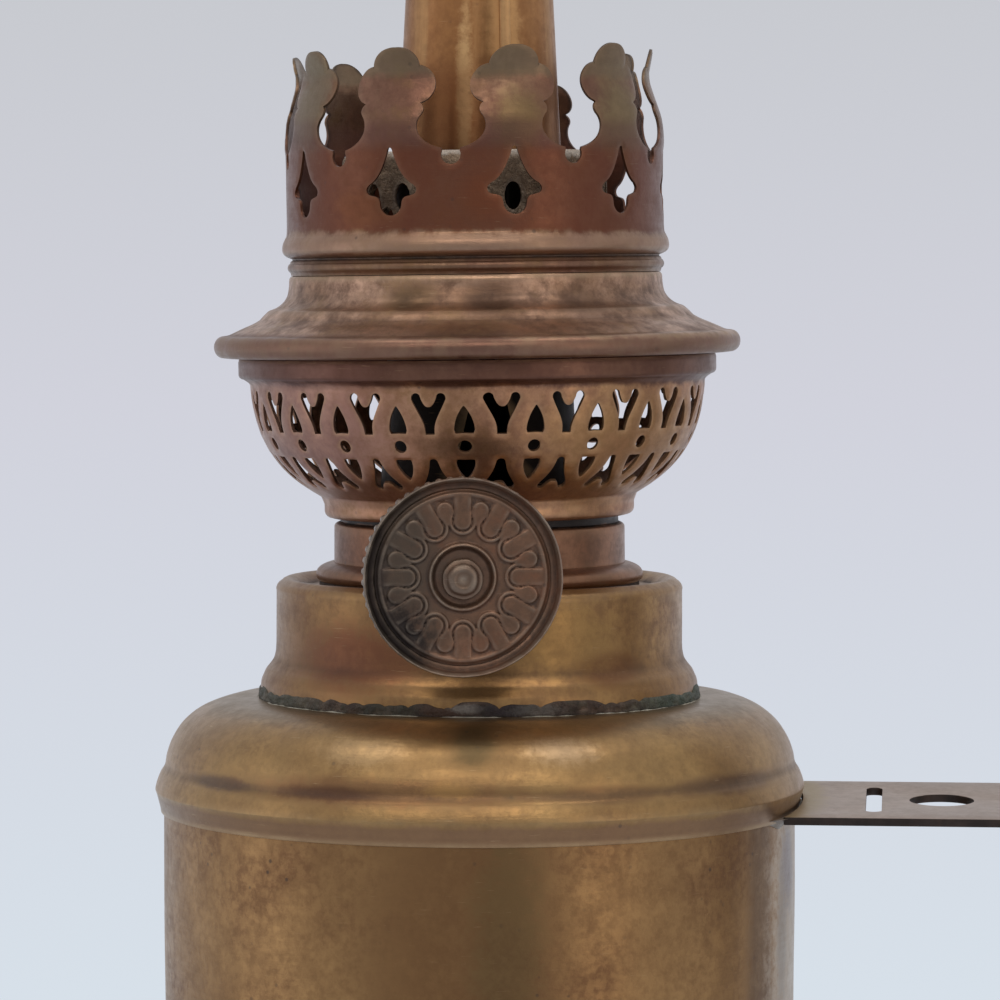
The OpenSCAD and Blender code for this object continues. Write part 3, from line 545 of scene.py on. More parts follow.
finishes = {
    # Drawn brass under a century of lamp oil: soft wide shine, brown clouds and mottle, a few black pits
    "font": agedMetal(
        "Aged drawn brass, reservoir", ("#ac8455", "#98734a", "#735234", "#6c4630"), patinaShare=0.36,
        stainShare=0.5, speckShare=0.7, coat=0.12, mottleMm=3.2, patches=(
            # Dark red-brown patch in front: painted reflection
            (spot(-3, 40, -20), (8, 9, 26), "#6e4a2c", 0.4),
            (spot(5, 40, -16), (3, 4, 14), "#5f5434", 0.35),
            (spot(60, 40, -24), (3, 3, 60), "#5c4430", 0.6),
            (spot(84.5, 42, -24), (15, 9, 44), "#b3a08c", 0.85, 0.25),  # tinned round the strap
            (spot(74, 41, -9), (3, 3, 5), "#6f5f62", 0.7), (spot(70, 41, -17), (2, 2, 9), "#867668", 0.7))),
    # The same brass, rubbed more, greener near the collar and red-brown in the hollow above its bead, with
    # painted highlights and a painted dark reflection on the dome
    "shoulder": agedMetal(
        "Aged drawn brass, shoulder", ("#b8925a", "#a47e4c", "#7d6038", "#74512f"), bright="#d2b488",
        patinaShare=0.4, stainShare=0.45, speckShare=0.6, coat=0.5, wearShare=0.4, patches=(
            (spot(-52, 39.5, 3.1), (8, 5, 0.8), "#46302c", 0.65),
            (spot(-18, 39.5, 3.4), (16, 16, 1.5), "#6b3c22", 0.5),
            (spot(-27, 39.5, 3.1), (6, 6, 0.8), "#4a2616", 0.6),
            (spot(-5, 39.5, 3.8), (2.2, 3, 1.0), "#c89a54", 0.35),
            (spot(22, 39.5, 3.1), (7, 8, 0.9), "#5b3a26", 0.5),
            (spot(50, 39.5, 3.1), (9, 9, 1.1), "#54392c", 0.6),
            # Pale patches: painted highlights on the dome
            (spot(-22, 36.5, 8), (5, 5, 1.4), "#c2ad90", 0.15),
            (spot(15, 36.5, 8), (3.5, 4, 1.4), "#c2ad90", 0.3),
            # Dark olive patch between them: painted reflection
            (spot(-1, 36, 8.5), (3, 2.4, 3.6), "#4f4626", 0.6)),
        # The second band darkens the bead's underside: painted shade where it faces down
        bands=(((9.6, 11.2), (30, 31), "#4d4a2b", 0.35), ((-9, -8), (-0.9, 0.0), "#8a684c", 0.75))),
    # Spun brass with the fingers' and the heat's red-brown stains
    "collar": agedMetal(
        "Aged spun brass, collar", ("#ab8350", "#966f45", "#6b4b31", "#6c3f29"), patinaShare=0.45,
        stainShare=0.55, speckShare=0.7, patches=(
            (spot(-36, 25.7, 18), (10, 9, 3.6), "#6d3c28", 0.75),
            (spot(38, 25.7, 16.5), (5, 4.5, 1.8), "#66381f", 0.6),
            (spot(22, 25.7, 20.5), (7, 7, 4), "#94723f", 0.5),
            # Darker greyish patch at the top: painted reflection of the dark burner above it
            (spot(-12, 25.7, 24.5), (8, 8, 2), "#5c4632", 0.5))),
    # The heat has browned it; the spigot under the gallery is near black: painted shade in the gap under
    # the gallery
    "burner": agedMetal(
        "Browned brass, burner", ("#966a4e", "#835840", "#5e4332", "#5f3824"), bright="#a88463",
        patinaShare=0.55, roughness=0.38, bands=(((33.5, 33.7), (60, 61), "#120d0a", 0.93),)),
    # Coppery brass, mauve towards the left and golden towards the right
    "basket": agedMetal(
        "Coppery brass, pierced basket", ("#cb9a76", "#b27f5e", "#724e3a", "#967044"), bright="#c49c76",
        stainShare=0.5, roughness=0.38, cloudMm=16,
        patches=((spot(-60, 29, 46), (16, 16, 9), "#8a6668", 0.5),
                 (spot(42, 29, 43), (13, 14, 8), "#ab824a", 0.45)),
        # Darker top rim, under the cover's roll: painted shade
        bands=(((51.0, 51.8), (60, 61), "#57352c", 0.8),)),
    # Broad golden patches rubbed through brown tarnish
    "cover": agedMetal(
        "Golden brown brass, gallery cover", ("#cca488", "#ab8466", "#5c3e2c", "#ac8860"), bright="#cbb08c",
        patinaShare=0.7, stainShare=0.6, cloudMm=10, mottleMm=3.0,
        bands=(((40, 41), (56.9, 57.7), "#694036", 0.85),), patches=(
            # Dark patch on the front of the roll: painted reflection, darker than its sides
            (spot(-3, 33, 56), (8, 7, 2.6), "#3f2018", 0.6),
            (spot(4, 25, 62), (3.2, 3, 1.8), "#452c1c", 0.7),
            (spot(-20, 25, 62), (2.4, 3, 1.6), "#554020", 0.6),
            (spot(30, 25, 61), (3, 3, 1.5), "#5a4030", 0.5))),
    # Brass that the flame's heat has turned red-brown, greyer where the prongs lean out of it, with a
    # painted highlight along the bulge
    "crown": agedMetal(
        "Heat-browned brass, crown", ("#94745a", "#845d4a", "#5c3d2e", "#8b6a44"), bright="#a08468",
        stainShare=0.5, cloudMm=12, mottleMm=3, wearShare=0.15,
        # First band: painted highlight on the bulge's upper slope
        bands=(((67.1, 67.4), (69.2, 70.3), "#bd9a80", 0.4), ((69.7, 70.5), (79.5, 82.5), "#69351f", 0.8),
               ((79.5, 81.5), (82.6, 84.6), "#5e3a34", 0.5), ((88.4, 89.6), (99, 100), "#77684f", 0.6)),
        patches=((spot(2, 23.8, 74.6), (4.5, 2.6, 2.6), "#a8602c", 0.5),
                 (spot(-36, 23.8, 72.8), (6, 4, 2.0), "#9a6a34", 0.5),
                 (spot(12, 22.8, 83.2), (3.6, 3, 3.6), "#73603c", 0.7),
                 (spot(-62, 23, 84), (4, 4, 9), "#7b7054", 0.6),
                 (spot(50, 23, 83.5), (4, 4, 6), "#7a6a44", 0.6))),
    # Chalky grey scale from the heat, flaked off in spots
    "deflector": agedMetal(
        "Flaked oxide on brass, air deflector", ("#cdb497", "#ab9074", "#6e5a48", "#8c7458"),
        bright="#ece6dc", lineDepth=0.0, scratchShare=0.05, patinaShare=0.7, stainShare=0.6, speckShare=0.8,
        roughness=0.7, metallic=0.1, wearShare=0.15, bumpMm=0.5, cloudMm=7, mottleMm=1.6, fineMm=0.7,
        # Whitish band on the rolled top: painted highlight where light falls on it
        bump=1.0, coat=0.0, bands=(((79.2, 80.0), (90, 91), "#e8dccc", 0.85),)),
    # Drawn tube, handled clean where the chimney leaves it bare, browner lower down, near black inside the
    # gallery: painted shade of the dark space there
    "tube": agedMetal(
        "Rubbed brass, wick tube", ("#bd8a58", "#a87444", "#865a36", "#7a5234"), bright="#d0a878",
        patinaShare=0.4, stainShare=0.35, roughness=0.42, lineMm=3, lineDepth=0.1,
        streaks=((9, "#8e5c30", 0.5), (6, "#d4aa72", 0.35)),
        # Narrow upright stripes, light and dark: painted highlights and reflections on the round tube
        patches=((spot(-11, 10.3, 95), (0.9, 0.9, 60), "#ecc48a", 0.6, 0.6),
                 (spot(-20, 10.3, 95), (0.4, 0.4, 60), "#7a4c28", 0.6, 0.6),
                 (spot(5, 10.3, 95), (1.0, 1.0, 60), "#63401f", 0.7, 0.6),
                 (spot(26, 10.3, 95), (1.3, 1.3, 60), "#d0a670", 0.5, 0.6)),
        # Near-black band low down: painted shade inside the gallery
        bands=(((-100, -99), (88, 93), "#8a5230", 0.45), ((-100, -99), (75.5, 82.5), "#120e0b", 0.97))),
    # Stamped brass gone dark brown, olive-grey on the left and darker at the middle, with painted shade in
    # the rim's hollow
    "knob": agedMetal(
        "Dark stamped brass, winder knob", ("#8e6850", "#795a45", "#544236", "#8b5a40"), bright="#b5a592",
        patinaShare=0.55, stainShare=0.5, roughness=0.42, cloudMm=7, mottleMm=2, lineMm=0.8, wearShare=0.6,
        patches=((onSpindle(37) @ Vector((0, -7.5, 0)), (5, 4.5, 12), "#45423a", 0.65),
                 (onSpindle(37) @ Vector((0, 0, 0)), (3, 2.6, 2.6), "#54493e", 0.6),
                 # The two near-black patches, low on the left of the rim: painted shade in its hollow cone
                 (onSpindle(37) @ Vector((7.5, -8.2, 0)), (3, 4, 4), "#241d1b", 0.9),
                 (onSpindle(37) @ Vector((-1, -10.9, 0)), (3, 1.5, 8), "#2c2422", 0.8))),
    # Even warm grey with a dull shine, yellowed by flux round the reservoir
    "strap": agedMetal(
        "Dull tinned steel, strap", ("#beab9c", "#ad9b8d", "#9a8a7c", "#8e7c6c"), bright="#c4b8ab",
        grime="#2c2320", patinaShare=0.28, stainShare=0.25, roughness=0.46, lineMm=1.2, lineDepth=0.08,
        metallic=0.8, patches=((spot(84.5, 0, 0), (43.5, 43.5, 43.5), "#a58f62", 0.8, 0.04),)),
    # Sheared steel edges, never tinned, brown-black with old grease
    "strapEdge": agedMetal(
        "Bare sheared steel, strap edge", ("#3d3029", "#30251f", "#231b17", "#4d3527"), bright="#7b6e64",
        roughness=0.55, metallic=0.6, cloudMm=6, mottleMm=1.6, lineMm=0.6, bump=0.5),
    # Lead-tin solder, black and brown with green verdigris where oil never reached
    "darkSolder": agedMetal(
        "Blackened solder with verdigris", ("#4a3528", "#6c5644", "#1a120d", "#4b5140"), bright="#9a968a",
        grime="#0f0c0a", patinaShare=0.6, roughness=0.55, metallic=0.1, cloudMm=4,
        mottleMm=1.5, fineMm=0.6, bump=1.0, coat=0.1, bumpMm=0.4, lineDepth=0.0, patches=(
            (spot(-70, 27.6, 12), (11, 9, 3), "#505a48", 0.45),
            (spot(-24, 27.6, 12), (3, 4, 3), "#2b3424", 0.45),
            (spot(-8, 27.7, 12.2), (4.5, 3, 1), "#4f3626", 0.8),
            (spot(-3, 27.7, 12.4), (1.4, 2, 0.5), "#a29c92", 0.6),
            (spot(6, 27.7, 12.3), (4, 3, 1), "#2b2026", 0.8),
            (spot(14, 27.7, 12.2), (2.4, 3, 0.7), "#6a6660", 0.6),
            (spot(68, 27.6, 12), (11, 9, 3), "#45604f", 0.5))),
    # Tin-rich solder that has kept a dull grey shine
    "greySolder": agedMetal(
        "Soft solder, greyed", ("#aaa094", "#8f8474", "#786c5e", "#8a7650"), roughness=0.5, metallic=0.8,
        cloudMm=5, mottleMm=1.5, bump=0.6),
    # Chalky crust that the flux left
    "residue": agedMetal(
        "Pale flux residue", ("#b9b4a6", "#9d9787", "#7d7a6a", "#5f6656"), roughness=0.8, metallic=0.0,
        cloudMm=6, mottleMm=1.2, bump=0.6, coat=0.0),
    # Even dark grey, a little brown
    "steel": agedMetal(
        "Blued steel, spindle", ("#77706a", "#67605a", "#514a44", "#5b4436"), roughness=0.4),
    # Nearly black and matt, swollen with oil
    "leather": agedMetal(
        "Oiled leather washer", ("#33251c", "#2a1e17", "#1f1611", "#3d2a1e"), bright="#4a382a",
        roughness=0.7, metallic=0.0, bump=0.8, coat=0.0),
    # Cream cloth, fully matt, with oil-dark streaks along its warp
    "cotton": agedMetal(
        "Woven cotton wick", ("#d2c2a2", "#c2b08e", "#ac9a76", "#947c58"), bright="#d8cfba",
        grime="#4a3826", patinaShare=0.4, speckShare=0.1, roughness=0.9, metallic=0.0, coat=0.0, bump=0.6,
        bumpMm=0.2, streaks=((1.5, "#a58c68", 0.4),)),
}
print("finishes made:", len(finishes))

# Reservoir
font = {"r": 40.0, "wall": 0.7, "depth": 70.0, "footR": 0.8, "dents": 0.16, "lean": 0.16}


def makeFont():
    r, inner, bottom, footR = font["r"], font["r"] - font["wall"], -font["depth"], font["footR"]
    wall = ([(inner, bottom), (r + 0.15, bottom)] + arc((r + 0.15, bottom + footR), footR, -80, 90, 10)
            + [(r, bottom + 1.75), (r, 1.3), (inner, 1.3)])
    mesh = turned("fontWall", wall, 320, dents=font["dents"], dentSize=15, seed=3.1, longest=2.2)
    addPiece("fontWall", mesh, lampPlace, "lamp", finishes["font"], ["font_body"])
    outer = ([(40.08, -2.75), (40.2, -2.86), (40.42, -2.8), (40.47, -2.6)]
             + flowing([(40.5, -2.3), (40.7, -1.55), (40.92, -0.75), (41.07, -0.28), (41.14, -0.08),
                        (41.13, 0.12), (41.0, 0.65), (40.8, 1.25), (40.5, 1.95), (40.2, 2.4),
                        (39.98, 2.8)], 5)
             + flowing([(39.87, 3.2), (39.65, 4.4), (38.95, 6.2), (37.5, 8.3), (35.2, 10.0), (31.9, 11.1),
                        (28.9, 11.38), (27.5, 11.48)], 5) + [(20.7, 11.8)])
    under = [(20.7, 11.0), (27.5, 10.8), (31.4, 10.3), (34.4, 9.2), (36.6, 7.6), (38.1, 5.6), (38.85, 4.0),
             (39.1, 2.6), (39.2, 1.35), (40.07, 1.35)]
    mesh = turned("fontShoulder", outer + under, 320, dents=font["dents"], dentSize=13, seed=8.4)
    for v in mesh.vertices:  # the shoulder stands a little higher on the right
        right = v.co.y * frontLine.x - v.co.x * frontLine.y
        fromCollar = ease((math.hypot(v.co.x, v.co.y) - 27.8) / 6)
        v.co.z += font["lean"] * (1 + right / r) * fromCollar * ease((v.co.z + 2) / 2.5)
    addPiece("fontShoulder", mesh, lampPlace, "lamp", finishes["shoulder"], ["font_shoulder"])


def makeCollar():
    line = (flowing([(26.5, 11.72), (27.35, 11.75), (27.6, 12.0), (27.66, 12.6), (27.64, 13.2),
                     (27.55, 13.7), (27.35, 14.2), (27.0, 14.95), (26.45, 15.65), (25.98, 16.4),
                     (25.75, 17.4)], 5)
            + [(25.7, 18.4), (25.7, 24.9)] + arc((24.6, 25.1), 1.15, 4, 62, 7)
            + [(24.86, 26.36), (24.5, 26.53), (24.1, 26.5), (23.5, 26.15), (23.0, 25.7), (22.6, 25.3),
               (20.0, 25.3)])
    mesh = turned("collarShell", sheetLine(line, 0.8), 288, dents=0.1, dentSize=11, seed=1.9)
    addPiece("collarShell", mesh, lampPlace, "lamp", finishes["collar"], ["collar"])


solder = {"inR": 26.4, "outR": 27.98, "lowZ": 11.36, "tall": 1.05, "scallop": 0.95, "lumps": 0.17,
          "dripMm": 5.2, "rippleMm": 1.6, "lumpMm": 1.3, "grainMm": 0.6, "rings": 620, "rows": 13,
          "seed": 11, "fluxPieces": 17, "fluxW": 0.14, "fluxStep": 0.02}


def makeSolder():
    # Upright band of lumpy solder under the collar's foot, its top edge like a row of drips
    lowZ, rings, rows = solder["lowZ"], solder["rings"], solder["rows"]
    points, marks = [], []
    for i in range(rings):
        a = math.tau * i / rings
        about = Vector(around(1, a, 0)) * 27
        drips = noise.noise(about / solder["dripMm"]) + 0.14 * noise.noise(about / solder["rippleMm"])
        lobe = min(1, 3.2 * abs(drips)) ** 0.5 * (0.85 + 0.3 * noise.noise(about / 5))
        tall = solder["tall"] + solder["scallop"] * lobe
        for j in range(rows):
            f = j / (rows - 1)
            lump = noise.noise(Vector((about[0], about[1], f * 2.2)) / solder["lumpMm"])
            lump += 0.4 * noise.noise(Vector((about[0], about[1], f * 2.2 + 9)) / solder["grainMm"])
            r = solder["outR"] - 0.12 * f - 0.4 * max(0, (f - 0.72) / 0.28) ** 2
            r += solder["lumps"] * lump * (0.3 + 0.7 * math.sin(math.pi * min(1, f + 0.1)))
            points.append(around(r, a, lowZ + tall * f))
            # The lowest rows are darkened: dirt and painted shade where the solder meets the dome
            marks.append((0, max(0, 1 - f * 5)))
        points += [around(solder["inR"], a, lowZ + tall - 0.5), around(solder["inR"], a, lowZ)]
        marks += [(0, 1)] * 2
    mesh = newMesh("collarSolder", points, skin(rings, rows + 2, looped=True), marks)
    addPiece("collarSolder", mesh, lampPlace, "lamp", finishes["darkSolder"],
             ["collar_solder"], 60)


def makeFlux():
    # Thin pale line along the solder's lower edge, broken here and there
    draw = random.Random(solder["seed"])
    cuts = sorted(draw.uniform(0, math.tau) for k in range(solder["fluxPieces"]))
    points, faces = [], []
    for begin, end in zip(cuts, cuts[1:] + [cuts[0] + math.tau]):
        end -= draw.uniform(0.01, 0.035)
        steps = max(6, round((end - begin) / solder["fluxStep"]))
        faces += rod(steps + 1, 4, len(points))
        for i in range(steps + 1):
            a = begin + (end - begin) * i / steps
            about = Vector((math.cos(a), math.sin(a), 0.3)) * 28
            taper = min(1, i / 3, (steps - i) / 3)
            wide = solder["fluxW"] * (0.25 + 0.75 * taper) * (1 + 0.8 * noise.noise(about / 0.9))
            r = solder["outR"] + 0.18 + 0.3 * noise.noise(about / 3)
            for dr, dz in ((-wide, 0), (0, -0.1), (wide, 0), (0, wide)):
                points.append(around(r + dr, a, solder["lowZ"] + dz))
    mesh = newMesh("fluxLine", points, faces)
    addPiece("fluxLine", mesh, lampPlace, "lamp", finishes["residue"], crease=80)


makeFont()
makeCollar()
makeSolder()
makeFlux()
print("reservoir and collar made")

# Bracket: the CAD solids with their edges broken
strapFrontY = -0.0055  # the strap is bent up along the wall behind this
strapSolder = {"spread": 23, "topZ": -2.32, "seatR": 40.12, "backR": 39.9, "drop": 0.5, "reach": 0.35,
               "lumps": 0.22, "rows": 96, "columns": 14}


def softened(name, width, flatAxis):
    def cleared(work):
        bmesh.ops.remove_doubles(work, verts=work.verts, dist=2e-6)
        bmesh.ops.dissolve_limit(work, angle_limit=rad(0.5), verts=work.verts, edges=work.edges)
    mesh = reworked(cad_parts[name].data.copy(), cleared)
    carrier = bpy.data.objects.new(name + "Soft", mesh)
    scene.collection.objects.link(carrier)
    bevel = carrier.modifiers.new("Bevel", "BEVEL")
    bevel.width = width * 0.001
    bevel.segments = 3
    bevel.limit_method = "ANGLE"
    bevel.angle_limit = rad(35)
    parts = name.split("_")
    piece = addPiece(parts[0] + parts[1].title(), baked(carrier), Matrix.Identity(4), "lamp",
                     finishes["strap"], [name], 25)
    piece.data.materials.append(finishes["strapEdge"])
    for face in piece.data.polygons:
        acrossFlat = abs(face.normal[flatAxis]) < 0.5 and face.center.y < strapFrontY
        face.material_index = 1 if abs(face.normal.x) > 0.6 or acrossFlat else 0


def makeStrapSolder():
    # Lumpy grey fillet under the strap, run down the reservoir's side
    spread, topZ = rad(strapSolder["spread"]), strapSolder["topZ"]
    rows, columns = strapSolder["rows"], strapSolder["columns"]
    points = []
    for i in range(rows + 1):
        a = math.pi / 2 - spread + 2 * spread * i / rows
        thin = min(1, i / 12, (rows - i) / 12)
        drop = strapSolder["drop"] + 0.6 * thin + 0.5 * noise.noise(Vector((i / 13, 0, 1.5)))
        reach = strapSolder["reach"] + 1.1 * thin + 0.4 * noise.noise(Vector((i / 11, 3, 0.5)))
        for j in range(columns):
            f = j / (columns - 1)
            lump = strapSolder["lumps"] * noise.noise(Vector((i / 2.5, j / 2.5, 0))) * (1 - f)
            r = strapSolder["seatR"] + reach * (1 - f) ** 2.2 + lump
            points.append(around(r, a, topZ - drop * f))
        points += [around(strapSolder["backR"], a, topZ - drop), around(strapSolder["backR"], a, topZ)]
    mesh = newMesh("bracketSolder", points, flipped(rod(rows + 1, columns + 2)), [(0, 0)] * len(points))
    addPiece("bracketSolder", mesh, lampPlace, "lamp", finishes["greySolder"],
             ["bracket_solder"], 70)


softened("bracket_arm", 0.14, 2)
softened("wall_plate", 0.3, 1)
makeStrapSolder()
print("bracket made")

# Burner
tube = {"mouthR": 8.95, "taper": 0.052, "mouthZ": 106.4, "bottomZ": 18.05, "sheet": 0.4, "floorZ": 36.9,
        "airInwards": 2.9, "windowW": 10.0, "windowH": 22.5, "seamTurn": 14.0, "seamLength": 46}


def tubeR(z):
    return tube["mouthR"] + tube["taper"] * (tube["mouthZ"] - z)


def makeBurnerBody():
    shelf = 27.975
    ring = ([(17.85, 18.05), (18.8, 18.05), (18.8, 26.2), (20.25, 26.2)]
            + curve([(20.6, 26.5), (20.95, 27.6), (20.3, 28.2), (18.5, 28.55)], 14)
            + [(18.42, 28.55), (18.42, shelf), (17.85, shelf)])
    mesh = turned("screwRing", ring, dents=0.05, seed=5.2)
    addPiece("screwRing", mesh, burnerPlace, "burner", finishes["burner"], ["screw_ring"])
    washer = [(18.95, 25.33), (20.2, 25.33), (20.28, 25.7), (20.2, 26.17), (18.95, 26.17)]
    mesh = turned("sealWasher", washer, 128, dents=0.12, dentSize=3, seed=2.2)
    addPiece("sealWasher", mesh, burnerPlace, "burner", finishes["leather"],
             ["seal_washer"])
    neck = ([(18.4, 28.03), (18.4, 32.95)] + arc((17.8, 32.95), 0.6, 10, 75, 6)
            + [(17.6, 33.7), (17.6, 36.5)])
    mesh = turned("burnerNeck", sheetLine(neck, 0.5), dents=0.08, dentSize=8, seed=6.6)
    addPiece("burnerNeck", mesh, burnerPlace, "burner", finishes["burner"], ["burner_neck"])


def taperedTube(name, moveIn, replaced, bottom):
    # Rolled sheet with the burner's air window cut through it, towards the knob
    top, floor, half = tube["mouthZ"], tube["floorZ"], tube["windowW"] / 2
    profile = Profile([(tubeR(bottom) - moveIn, bottom), (tubeR(top - 0.5) - moveIn, top - 0.5),
                       (tubeR(top) - moveIn - 0.06, top)])
    wrapR = tubeR(60) - moveIn
    window = []
    for u, z in evenOut([(-half, floor), (half, floor), (0, floor + tube["windowH"])], 1.5):
        window.append((wrapR * math.asin(u / (tubeR(z) - moveIn)), profile.walkTo(z)))
    edge = math.pi * wrapR
    outline = [(-edge, 0), (edge, 0), (edge, profile.at[-1]), (-edge, profile.at[-1])]
    unit = sheetUnit(name, profile, outline, [window], edge, wrapR, tube["sheet"], 1.5, roll=0.04)
    mesh = repeated(unit, 1, finishes["tube"])
    addPiece(name, mesh, burnerPlace, "burner", finishes["tube"], [replaced])


def makeSeam():
    # The sheet's folded edge, lapped over the other one: rounded on its left, a sharp step on its right,
    # darkened with dirt and painted shade
    points, marks, rows = [], [], 40
    section = [(-0.75, -0.1), (-0.68, 0.16), (-0.45, 0.4), (-0.1, 0.52), (0.35, 0.55), (0.52, 0.5),
               (0.56, -0.1)]
    for i in range(rows + 1):
        z = tube["mouthZ"] - tube["seamLength"] + tube["seamLength"] * i / rows
        rubbed = ease((z - 78) / 5)
        for s, out in section:  # first the left flank, last the step
            r = tubeR(z) + out * (1 if z < tube["mouthZ"] - 0.1 else 0.6)
            points.append(around(r, rad(tube["seamTurn"]) + s / tubeR(z), z))
            marks.append(((0.8 if out > 0.3 else 0.2) * rubbed, 1 if s > 0.54 else 0))
    mesh = newMesh("tubeSeam", points, flipped(rod(rows + 1, len(section))), marks)
    addPiece("tubeSeam", mesh, burnerPlace, "burner", finishes["tube"], crease=40)


makeBurnerBody()
taperedTube("wickTube", 0, "wick_tube", tube["bottomZ"])
taperedTube("airTube", tube["airInwards"], "air_tube", tube["floorZ"])
makeSeam()
print("burner made")

# Winder
knob = {"reach": 37.4, "thick": 3.4, "flutes": 54, "petals": 12, "faceZ": 36.25, "faceR": 10.46,
        "backZ": 35.1, "rimR": 11.56, "archR": 1.45, "archW": 0.8, "tongueX": 6.65, "tongueW": 2.5,
        "tongueEnd": 10.0, "dropTop": 6.3, "dropX": 8.2, "dropW": 2.45, "relief": 0.28, "soft": 0.36,
        "bossR": 3.84, "bossH": 0.5, "outerR": 9.9, "outerH": 0.32, "dishR": 3.55, "dishDepth": 0.35}


def ridge(distance, width):
    # Height of a soft rib at a distance from its middle line
    return 0.5 + 0.5 * math.cos(math.pi * min(1, abs(distance) / width))


def rosette(r, a):
    # Relief of the stamped knob in one petal's sector: an arch round each tongue, and drops between them
    x, y = r * math.cos(a), abs(r * math.sin(a))
    fromTongue = y if x > knob["tongueX"] else math.dist((x, y), (knob["tongueX"], 0))
    shapes = [min(knob["tongueW"] / 2 - fromTongue, knob["tongueEnd"] - r)]
    if x < knob["tongueX"] + 0.5:
        shapes.append(knob["archW"] / 2 - abs(fromTongue - knob["archR"]))
    dx, dy, _ = around(r, math.pi / knob["petals"] - abs(a), 0)
    half = knob["dropW"] / 2
    if dx > knob["dropX"]:
        shapes.append(half - math.dist((dx, dy), (knob["dropX"], 0)))
    elif dx > knob["dropTop"]:
        grown = (dx - knob["dropTop"]) / (knob["dropX"] - knob["dropTop"])
        shapes.append(0.2 + (half - 0.2) * math.sin(math.pi / 2 * grown) - dy)
    height = max(knob["relief"] * ease(shape / knob["soft"]) for shape in shapes)
    height = max(height, knob["bossH"] * ridge(r - knob["bossR"], 0.5),
                 knob["outerH"] * ridge(r - knob["outerR"], 0.6))
    return height - knob["dishDepth"] * min(1, max(0, knob["dishR"] - r) / knob["dishDepth"])


def makeKnobFace():
    step, rows, columns, faceR = math.pi / knob["petals"], 96, 32, knob["faceR"]
    angles = [-step + 2 * step * j / columns for j in range(columns + 1)]
    grid = [[rosette(max(faceR * i / rows, 0.01), a) for a in angles] for i in range(rows + 1)]
    points, marks = [], []
    for i in range(rows + 1):
        r = faceR * i / rows
        for j, a in enumerate(angles):
            points.append(around(r, a, knob["faceZ"] + grid[i][j]))
            # Raised lines are rubbed, the lines beside them hold dirt and painted shade
            near = [grid[min(max(i + di, 0), rows)][(j + dj) % columns]
                    for di, dj in ((3, 0), (-3, 0), (0, 3), (0, -3))]
            proud = grid[i][j] - sum(near) / 4
            marks.append((min(1, max(0, proud * 4)), min(1, max(0, -proud * 5)) if r > 3 else 0.3))
    edge, back = rows * (columns + 1), len(points)
    points += [around(faceR, a, knob["backZ"]) for a in angles] + [(0, 0, knob["backZ"])]
    marks += [(0, 0.5)] * (columns + 2)
    faces = skin(rows + 1, columns + 1, closed=False)
    faces += [(edge + j, back + j, back + j + 1, edge + j + 1) for j in range(columns)]
    faces += [(back + j + 1, back + j, back + columns + 1) for j in range(columns)]
    mesh = mended(repeated(newMesh("knobFace", points, faces, marks), knob["petals"], finishes["knob"]))
    addPiece("knobFace", mesh, onSpindle(0), "winder", finishes["knob"], ["knob_disc"], 40)


def makeKnobRim():
    # Hollow cone inside, smooth lip at the front, milled edge behind it
    z0, z1, rimR = knob["reach"] - knob["thick"], knob["reach"], knob["rimR"]
    loop = [(10.5, z0), (11.3, z0), (11.52, z0 + 0.15), (11.62, z0 + 0.4), (11.62, z1 - 0.8),
            (11.84, z1 - 0.64), (11.9, z1 - 0.4), (11.87, z1 - 0.14), (11.78, z1 - 0.03),
            (11.68, z1 - 0.05), (rimR, z1 - 0.25), (11.1, z1 - 1.1), (10.3, z1 - 1.5)]
    flute = [(0.4 * math.sin(rad(a)), 0.48 * math.cos(rad(a))) for a in range(0, 181, 30)]
    points = [(rimR + x * (1 - fall), y, z)
              for z, fall in ((z0 + 0.3, 0.7), (z0 + 0.6, 0), (z1 - 0.95, 0), (z1 - 0.68, 0.7))
              for x, y in flute]
    unit = newMesh("knobMilling", points, rod(4, len(flute)), [(0.9, 0)] * len(points))
    milled = repeated(unit, knob["flutes"], finishes["knob"])

    def joined(work):
        work.from_mesh(milled)
        bmesh.ops.recalc_face_normals(work, faces=work.faces)
    mesh = reworked(turned("knobRim", loop, 216, dents=0.05, dentSize=4, longest=0.6), joined)
    addPiece("knobRim", mesh, onSpindle(0), "winder", finishes["knob"], ["knob_rim"], 40)


def makeKnobFixing():
    button = ([(0, 35.7), (2.5, 35.7), (2.5, 36.3), (2.38, 36.6), (2.1, 36.72), (1.95, 36.8), (1.85, 37.0)]
              + flowing([(1.6, 37.25), (1.2, 37.38), (0.8, 37.3), (0, 37.22)], 4))
    mesh = turned("knobButton", button, 96, dents=0.1, dentSize=1.5, seed=4.4, longest=0.3)
    offCentre = Matrix.Translation((0.25, 0, 0))
    addPiece("knobButton", mesh, onSpindle(0) @ offCentre, "winder", finishes["knob"],
             ["knob_button"], 50)
    hub = [(1.55, 31.0), (3.0, 31.0), (3.2, 31.2), (3.2, 33.7), (4.45, 33.85), (4.6, 34.0), (4.6, 34.9),
           (4.5, 35.02), (1.55, 35.02)]
    mesh = turned("knobHub", hub, 96, dents=0.04, dentSize=3, longest=0.6)
    addPiece("knobHub", mesh, onSpindle(0), "winder", finishes["knob"], ["knob_hub"])


makeKnobFace()
makeKnobRim()
makeKnobFixing()
print("winder made")

# Pierced basket
basket = {"units": 22, "turn": 10.75, "sheet": 0.5, "fieldTop": 50.7, "wrapR": 28.75, "join": 0.9}


